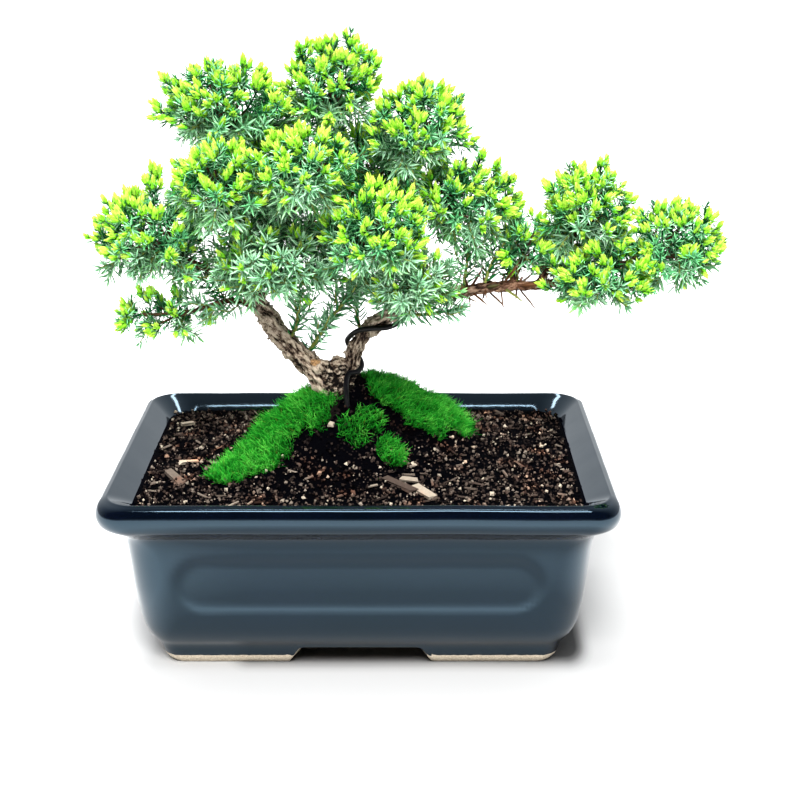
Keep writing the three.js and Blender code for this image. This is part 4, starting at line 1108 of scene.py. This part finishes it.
def make_tree(material):
    limbs = all_limbs()
    mesh = grown_wood(limbs)
    co, normals = (np.zeros(len(mesh.vertices) * 3) for _ in range(2))
    mesh.vertices.foreach_get("co", co)
    mesh.vertices.foreach_get("normal", normals)
    co = co.reshape(-1, 3) * 1000 - [SHIFT_X, 0, 0]
    grain, girth = bark_grain(limbs, co)
    flakes = relief(grain, 1.3, 4, 4)
    lumps = relief(grain, 5, 2, 5)
    age = smooth((girth - 1.9) / 1.1)
    depth = mix(0.14, 0.8, smooth((girth - 1.2) / 2.2))
    ridges = 1 - 2 * np.abs(relief(grain, 2.6, 3, 6))
    swell = flakes * depth * 1.6 + lumps * depth * 1.5 + ridges * depth * 0.7
    cut = cut_end(co)
    swell = np.where(cut > 0, 0, swell)
    co = co + normals.reshape(-1, 3) * (swell - 0.15 * age)[:, None]
    # Soil sticks in the fork and hides the foot of the trunk
    dirt = 0.62 * smooth((116 - co[:, 2]) / 6) * smooth((14.5 - np.abs(co[:, 0] + 4.5)) / 5)
    dirt = np.maximum(dirt, smooth((105 - co[:, 2]) / 9))
    mesh.vertices.foreach_set("co", place(co).astype(np.float32).ravel())
    # Painted shade in the hollows of the bark's relief
    painted_crevice_shade = smooth(0.5 - swell / depth * 0.6) * (1 - cut)
    store(mesh, "painted_crevice_shade", "FLOAT", "value", painted_crevice_shade)
    store(mesh, "grain", "FLOAT_VECTOR", "vector", grain)
    store(mesh, "marks", "FLOAT_COLOR", "color", np.stack([age, cut, dirt, np.ones(len(co))], -1))
    mesh.polygons.foreach_set("use_smooth", np.full(len(mesh.polygons), True))
    mesh.update()
    return add_piece("bonsai_wood", mesh, material, "tree")


def make_wire(material):
    path = Path(RIGHT_TRUNK)
    front = np.array([0, -1, 0])
    points = [np.array(p, float) for p in WIRE_TAIL]
    # A point at every eighth of a turn round the trunk
    for eighth in range(2 * len(WIRE_QUARTERS) - 1):
        before, after = WIRE_QUARTERS[eighth // 2], WIRE_QUARTERS[-(-eighth // 2)]
        along = (before + after) / 2
        side = unit(np.cross(path.tangent(along), front))
        angle = eighth * math.pi / 4
        reach = path.radius(RIGHT_TRUNK, along) + WIRE_GAP + WIRE_RADIUS
        points.append(path.at(along) + reach * (front * math.cos(angle) + side * math.sin(angle)))
    route = Path(points)
    along = np.linspace(0, route.length, round(route.length / 0.8))
    radii = np.full(len(along), WIRE_RADIUS)
    radii[[0, -1]] = WIRE_RADIUS * 0.7
    points, faces = closed_tube(route.at(along), route.tangent(along), radii, 14)
    return add_piece("wound_wire", mesh_of("wound_wire", points, faces), material, "wire")


# Foliage


def lances(table, sections):
    """Closed three-sided needles: a root, rings at the sections, and a tip. The map runs along
    each needle to the right, its upper face in the left half, and across it within its level."""
    base, direction, upper = table[:, 0:3], table[:, 3:6], table[:, 6:9]
    length, width, curl, kind = table[:, 9:].T[:, :, None]
    side = np.cross(direction, upper)
    size = 3 * len(sections) + 2
    points = np.zeros((len(table), size, 3))
    points[:, 0] = base
    for index, (share, wide, deep) in enumerate(sections):
        middle = base + direction * length * share - upper * curl * length * share**2
        points[:, 3 * index + 1] = middle - side * width * wide / 2
        points[:, 3 * index + 2] = middle + side * width * wide / 2
        points[:, 3 * index + 3] = middle - upper * width * deep
    points[:, -1] = base + direction * length - upper * curl * length
    faces, us, vs = [], [], []
    for left, right, low, high, offset in (
        (1, 2, 0.15, 0.85, 0.005), (2, 3, 0.15, 0.85, 0.515), (3, 1, 0.85, 0.15, 0.515),
    ):
        # Corners up one side: left and right point, place along the map, and heights on it
        rows = [(0, 0, offset, 0.5, 0.5)]
        for index, (share, _, _) in enumerate(sections):
            rows.append((3 * index + left, 3 * index + right, offset + 0.47 * share, low, high))
        rows.append((size - 1, size - 1, offset + 0.475, 0.5, 0.5))
        for (a, b, u, v_a, v_b), (c, d, u_next, v_c, v_d) in zip(rows, rows[1:]):
            if a != b:
                faces.append((a, b, d))
                us.append((u, u, u_next))
                vs.append((v_a, v_b, v_d))
            if c != d:
                faces.append((a, d, c))
                us.append((u, u_next, u_next))
                vs.append((v_a, v_d, v_c))
    faces = np.array(faces)[None] + size * np.arange(len(table))[:, None, None]
    level = np.clip(np.floor(kind * LEVELS), 0, LEVELS - 1)
    v = (level[:, None] + np.array(vs)[None]) / LEVELS
    u = np.array(us)[None] + 0 * v
    return points.reshape(-1, 3), faces.reshape(-1, 3), np.stack([u, v], -1).reshape(-1, 2)


class Foliage:
    """Collects a spray's stems and needles, then makes its mesh."""

    def __init__(self, seed):
        self.rng = np.random.default_rng(seed)
        self.needles = {"short": [], "long": []}
        self.stems = []

    def stem(self, path, radius, kind):
        self.stems.append((path, radius, kind))

    def whorls(self, path, start, end, spacing, lean, length, width, kind, curl=0.1, shape="short"):
        """Whorls of three needles along a path. lean, length and kind are numbers, or pairs for
        the start and the end."""
        rng = self.rng
        count = max(1, round((end - start) / spacing))
        share = np.repeat((np.arange(count) + 0.5) / count, 3)
        along = start + (end - start) * share
        tangent = path.tangent(along)
        across = unit(np.cross(tangent, [0.2, 0.1, 0.97]))
        over = np.cross(tangent, across)
        turn = rng.uniform(0, 2 * math.pi) + np.repeat(np.arange(count), 3) * math.pi / 3
        turn = turn + np.tile([0, 1, 2], count) * 2 * math.pi / 3 + rng.normal(0, 0.14, 3 * count)
        out = across * np.cos(turn)[:, None] + over * np.sin(turn)[:, None]
        tilt = np.radians(between(lean, share) + rng.normal(0, 6, 3 * count))[:, None]
        direction = tangent * np.cos(tilt) + out * np.sin(tilt)
        upper = tangent * np.sin(tilt) - out * np.cos(tilt)
        reach = between(length, share) * rng.uniform(0.84, 1.1, 3 * count)
        kinds = np.clip(between(kind, share) + rng.normal(0, 0.03, 3 * count), 0.02, 0.985)
        widths = width * rng.uniform(0.9, 1.1, 3 * count)
        curls = curl + rng.normal(0, 0.03, 3 * count)
        base = path.at(along) + out * 0.2
        rows = [base, direction, upper, reach, widths, curls, kinds]
        self.needles[shape].append(np.column_stack(rows))

    def bud(self, path, size):
        """A plump bud: short broad needles laid close round the end of a shoot."""
        for lean, back, length, width, fresh in BUD_WHORLS:
            spot = max(path.length - back * size, 0.1)
            length, width, kind = length * size, width * size, ROW_BUD + fresh
            self.whorls(path, spot - 0.1, spot + 0.1, 1, lean, length, width, kind, -0.17)

    def shoot(self, path, kind, low, bud, bare=1.0):
        """A leafy stem. low, from 0 to 1, makes its needles longer, sparser and wider apart;
        bud is the size of the bud at its tip, or 0."""
        end = path.length - 2.2 * bud
        self.stem(path, 0.42, mix(ROW_STEM, ROW_SHADE, 1 - low))
        if end > bare:
            lean = (mix(66, 72, low), mix(46, 54, low))
            reach = mix(4.4, 7.2, low)
            shape = "long" if low > 0.6 else "short"
            fresh = (kind, mix(kind, ROW_YOUNG, 0.5 if bud else 0.12))
            self.whorls(
                path, bare, end, mix(1.3, 1.9, low), lean, (reach, reach * 0.86),
                mix(0.86, 1.15, low), fresh, mix(0.06, -0.1, low), shape,
            )
        if bud:
            self.bud(path, bud)
        else:
            self.whorls(path, path.length - 0.4, path.length, 1, 26, 3.4, 0.8, kind, -0.1)

    def build(self, name, node, material):
        shapes, maps = [], []
        for kind, sections in NEEDLE_SECTIONS.items():
            if self.needles[kind]:
                points, faces, uv = lances(np.concatenate(self.needles[kind]), sections)
                shapes.append((points, faces))
                maps.append(uv)
        for path, radius, kind in self.stems:
            steps = max(3, round(path.length / 3.2))
            along = np.linspace(0, path.length, steps)
            radii, sides = radius * np.linspace(1, 0.6, steps), 5 if radius > 0.6 else 3
            rings = tube(path.at(along), path.tangent(along), radii, sides).reshape(-1, 3)
            shapes.append((rings, np.concatenate(halves(ring_faces(steps, sides)))))
            corners = np.array([(0.55, 0.2), (0.62, 0.8), (0.7, 0.5)])
            patch = (corners + [0, math.floor(kind * LEVELS)]) / [1, LEVELS]
            maps.append(np.tile(patch, (len(shapes[-1][1]), 1)))
        mesh = mesh_of(name, *joined(shapes), np.concatenate(maps), is_smooth=False)
        return add_piece(name, mesh, material, node)


def spread(count, lowest, turn):
    """Directions spread evenly over a sphere down to a lowest height."""
    height = 1 - (np.arange(count) + 0.5) / count * (1 - lowest)
    across = np.sqrt(1 - height**2)
    angle = turn + np.arange(count) * GOLDEN_ANGLE
    return np.stack([across * np.cos(angle), across * np.sin(angle), height], -1)


def bezier(start, bend, end):
    t = np.linspace(0, 1, 5)[:, None]
    return Path((1 - t) ** 2 * start + 2 * t * (1 - t) * bend + t**2 * end, 3)


def side_shoot(foliage, path, share, length, aside, kind, low, bud):
    """A shorter shoot that leaves a path at a share of its length."""
    rng = foliage.rng
    along = path.length * share
    begin, tangent = path.at(along), path.tangent(along)
    sideways = unit(np.cross(tangent, rng.normal(size=3)))
    end = begin + unit(tangent + sideways * aside + [0, 0, 0.25]) * length
    made = bezier(begin, begin + (sideways * aside * 0.6 + tangent * 0.25) * length, end)
    if made.length > 3:
        foliage.shoot(made, kind, low, bud, 0.8)


def best_start(twigs, tip):
    """The place on the twigs from which a shoot reaches a tip with the least turning, if any."""
    best, best_cost = None, math.inf
    for twig in twigs:
        for along in np.array([0.4, 0.6, 0.8, 1.0]) * twig.length:
            run = tip - twig.at(along)
            far = np.linalg.norm(run)
            cost = far * (2.1 - np.dot(run, twig.tangent(along)) / max(far, 0.1))
            if 5 < far and cost < best_cost:
                best, best_cost = twig.at(along), cost
    return best


def tip_reach(centre, arm, rng):
    """How far out a shoot goes along an arm of its pad: a ragged outline, and further towards
    the heart of the crown, so that the pads grow into one."""
    heart = min(HEARTS, key=lambda spot: np.linalg.norm(spot - centre))
    if np.dot(unit(arm), unit(heart - centre)) > 0.25:
        return rng.uniform(0.85, 1.3)
    return rng.uniform(0.68, 0.92) + 0.14 * (rng.random() < 0.15)


def cover_branch(foliage, limb):
    """Leafy shoots and dead needles along the branch that carries a pad."""
    rng = foliage.rng
    for share in np.arange(0.22, 0.97, 2.6 / limb.length):
        length, aside = rng.uniform(9, 14), rng.uniform(0.9, 1.5)
        kind = ROW_PALE - rng.uniform(0.02, 0.2)
        side_shoot(foliage, limb, share, length, aside, kind, 0.85, 0)
    kinds = (ROW_DEAD, ROW_DEAD + 0.03)
    foliage.whorls(limb, limb.length * 0.2, limb.length, 1.8, (105, 80), (6, 7), 0.8, kinds)


def make_pad(name, number, material):
    """A pad of foliage: twigs fan out inside it, and leafy shoots reach all over its outside,
    turning up towards the light."""
    centre, half, branch = PADS[name]
    centre, half = np.array(centre, float), np.array(half, float)
    foliage = Foliage(PAD_SEED + number)
    rng = foliage.rng
    before, entry = (np.array(station[:3], float) for station in branch[-2:])
    onward = unit(entry - before)
    size = half.mean() / PAD_SIZE
    twigs = []
    for direction in spread(max(6, round(PAD_TWIGS * size)), -0.8, rng.uniform(0, 6)):
        end = centre + direction * half * rng.uniform(0.42, 0.58)
        twig = bezier(entry, entry + onward * 0.35 * np.linalg.norm(end - entry), end)
        twigs.append(twig)
        foliage.stem(twig, 0.8, ROW_WOOD)
        # The twigs' needles inside the pad are painted dark, as shade
        kinds = (ROW_SHADE, ROW_SHADE + 0.08)
        foliage.whorls(twig, 2.0, twig.length, 2.4, (72, 58), (5.8, 5.4), 0.95, kinds)
    shoots = max(16, round(PAD_SHOOTS * size**2)) * (0.6 if name in SPARSE else 1)
    for direction in spread(round(shoots), -0.92, rng.uniform(0, 6)):
        height = direction[2]
        low = max(float(smooth((0.12 - height) / 1.0)), 0.75 * (name in SHADED))
        lobe = 1 + 0.26 * noise.noise(Vector(direction * 2.4) + Vector(centre))
        tip = centre + direction * half * tip_reach(centre, direction * half, rng) * lobe
        lift = 0.85 * float(smooth((height + 0.7) / 0.7))
        wander = rng.normal(0, 0.14, 3)
        heading = unit(direction * mix(0.55, 1.0, low) + [0, 0, lift] + wander)
        start = best_start(twigs, tip)
        if start is None:
            continue
        path = bezier(start, tip - heading * 0.5 * np.linalg.norm(tip - start), tip)
        kind = mix(ROW_MATURE - 0.06, ROW_PALE, low) + rng.normal(0, 0.05)
        kind = np.clip(kind, ROW_SHADE, ROW_PALE + 0.05)
        has_bud = rng.random() < mix(0.88, 0.14, low)
        plump = rng.uniform(1.02, 1.32)
        foliage.shoot(path, kind, low, plump if has_bud else 0)
        for _ in range(rng.integers(3, 6) if height > -0.2 else rng.integers(1, 3)):
            has_bud = rng.random() < mix(0.86, 0.1, low)
            bud = plump * rng.uniform(0.8, 0.98) if has_bud else 0
            share, length = rng.uniform(0.5, 0.82), rng.uniform(4.2, 6.4) + 2 * low
            aside = rng.uniform(0.45, 0.9)
            side_shoot(foliage, path, share, length, aside, kind, low * 0.8, bud)
    cover_branch(foliage, Path(branch))
    return foliage.build("needles_" + name, "foliage_" + name, material)


def make_sprig(name, number, material):
    foliage = Foliage(SPRIG_SEED + number)
    rng = foliage.rng
    path = Path(SPRIGS[name])
    foliage.stem(path, 0.85, ROW_STEM)
    kinds = (ROW_SHADE + 0.1, ROW_PALE - 0.05)
    foliage.whorls(path, 2.5, path.length, 1.7, (66, 46), (7.6, 6.8), 1.3, kinds, -0.1, "long")
    kinds = (ROW_DEAD + 0.02, ROW_DEAD)
    foliage.whorls(path, 1.0, path.length * 0.8, 4, (60, 40), (2.4, 2), 0.7, kinds, 0)
    if name in DEAD_STRETCHES:
        stations, start, end = DEAD_STRETCHES[name]
        wood, kinds = Path(stations), (ROW_DEAD, ROW_DEAD + 0.02)
        for lean, length in ((46, 14), (84, 10)):
            foliage.whorls(wood, start, end, 6.5, lean, length, 1.9, kinds, 0.15, "long")
    for share in SPRIG_SHOOTS.get(name, (0.45, 0.7)):
        side_shoot(foliage, path, share, rng.uniform(9, 13), 0.8, ROW_MATURE + 0.1, 0.9, 0)
    return foliage.build("needles_" + name, name, material)


# Scene


def make_floor():
    mesh = bpy.data.meshes.new("floor")
    far = FLOOR_REACH
    corners = [(-far, -far, 0), (far, -far, 0), (far, far, 0), (-far, far, 0)]
    mesh.from_pydata(corners, [], [(0, 1, 2, 3)])
    mesh.materials.append(floor_material())
    put_in_scene("floor", mesh)


def add_area(name, location, target, size, power):
    light = bpy.data.lights.new(name, "AREA")
    light.shape = "RECTANGLE"
    light.size, light.size_y = size
    light.energy = power
    lamp = put_in_scene(name, light)
    lamp.location = location
    lamp.rotation_euler = (Vector(target) - Vector(location)).to_track_quat("-Z", "Y").to_euler()


def add_sun(name, towards, angle, strength):
    """A large soft source a long way off, in a direction seen from the part. It is kept out of
    the glaze, as a studio light that is flagged off is."""
    light = bpy.data.lights.new(name, "SUN")
    light.angle = math.radians(angle)
    light.energy = strength
    lamp = put_in_scene(name, light)
    lamp.rotation_euler = Vector(towards).to_track_quat("Z", "Y").to_euler()
    lamp.visible_glossy = False


def make_lights():
    """A white room, darker towards the viewer, with soft light from above."""
    world = bpy.data.worlds.new("studio")
    world.use_nodes = True
    tree = world.node_tree
    background = tree.nodes["Background"]
    direction = tree.nodes.new("ShaderNodeSeparateXYZ")
    tree.links.new(tree.nodes.new("ShaderNodeTexCoord").outputs["Generated"], direction.inputs[0])
    brighter = tree.nodes.new("ShaderNodeMath")
    brighter.operation = "MAXIMUM"
    # Brighter behind the part, and brighter near the horizon all round
    for index, (axis, limits) in enumerate(((1, (-0.3, 1, 0.06, 1.1)), (2, (-0.02, 0.14, 1, 0)))):
        ramp = tree.nodes.new("ShaderNodeMapRange")
        for socket, value in zip(("From Min", "From Max", "To Min", "To Max"), limits):
            ramp.inputs[socket].default_value = value
        tree.links.new(direction.outputs[axis], ramp.inputs["Value"])
        tree.links.new(ramp.outputs["Result"], brighter.inputs[index])
    tree.links.new(brighter.outputs[0], background.inputs["Strength"])
    background.inputs["Color"].default_value = (0.93, 0.97, 1, 1)
    bpy.context.scene.world = world
    add_sun("overhead", (0, -0.05, 1), 75, 2.6)
    add_sun("front", (0, -0.8, 1), 26, 6.3)
    add_area("softbox_back", (0, 0.5, 0.95), (0, 0, 0.08), (0.5, 0.08), 2)
    add_area("strip_above", (0, -0.31, 0.95), (0, -0.07, 0), (0.5, 0.14), 4)
    add_area("strip_behind", (0, 0, 0.95), (0, 0.07, 0.07), (0.38, 0.014), 0.45)


def make_camera():
    """The photograph's viewpoint, from a fit to the pot's outline."""
    camera = bpy.data.cameras.new("camera")
    camera.sensor_width = 36
    camera.lens = CAMERA_LENS
    camera.clip_start = 0.01
    holder = put_in_scene("camera", camera)
    holder.location = place(CAMERA_SPOT)
    holder.rotation_euler = (math.radians(90 - CAMERA_DIP), 0, 0)
    bpy.context.scene.camera = holder


make_camera()
make_lights()
make_floor()
make_pot(glaze_material())
make_soil(soil_material())
moss = moss_material()
for mat_number, (mat_name, mat_discs) in enumerate(MOSS_MATS.items()):
    make_moss(mat_name, mat_discs, MOSS_SEED + mat_number, moss)
make_tree(bark_material())
make_wire(wire_material())
needles = needle_material()
for pad_number, pad_name in enumerate(PADS):
    make_pad(pad_name, pad_number, needles)
for sprig_number, sprig_name in enumerate(SPRIGS):
    make_sprig(sprig_name, sprig_number, needles)
plastic = screen_material()
for screen in ("drain_screen_left", "drain_screen_right"):
    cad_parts[screen].data.materials.clear()
    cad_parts[screen].data.materials.append(plastic)

bpy.context.scene.view_settings.view_transform = "Standard"
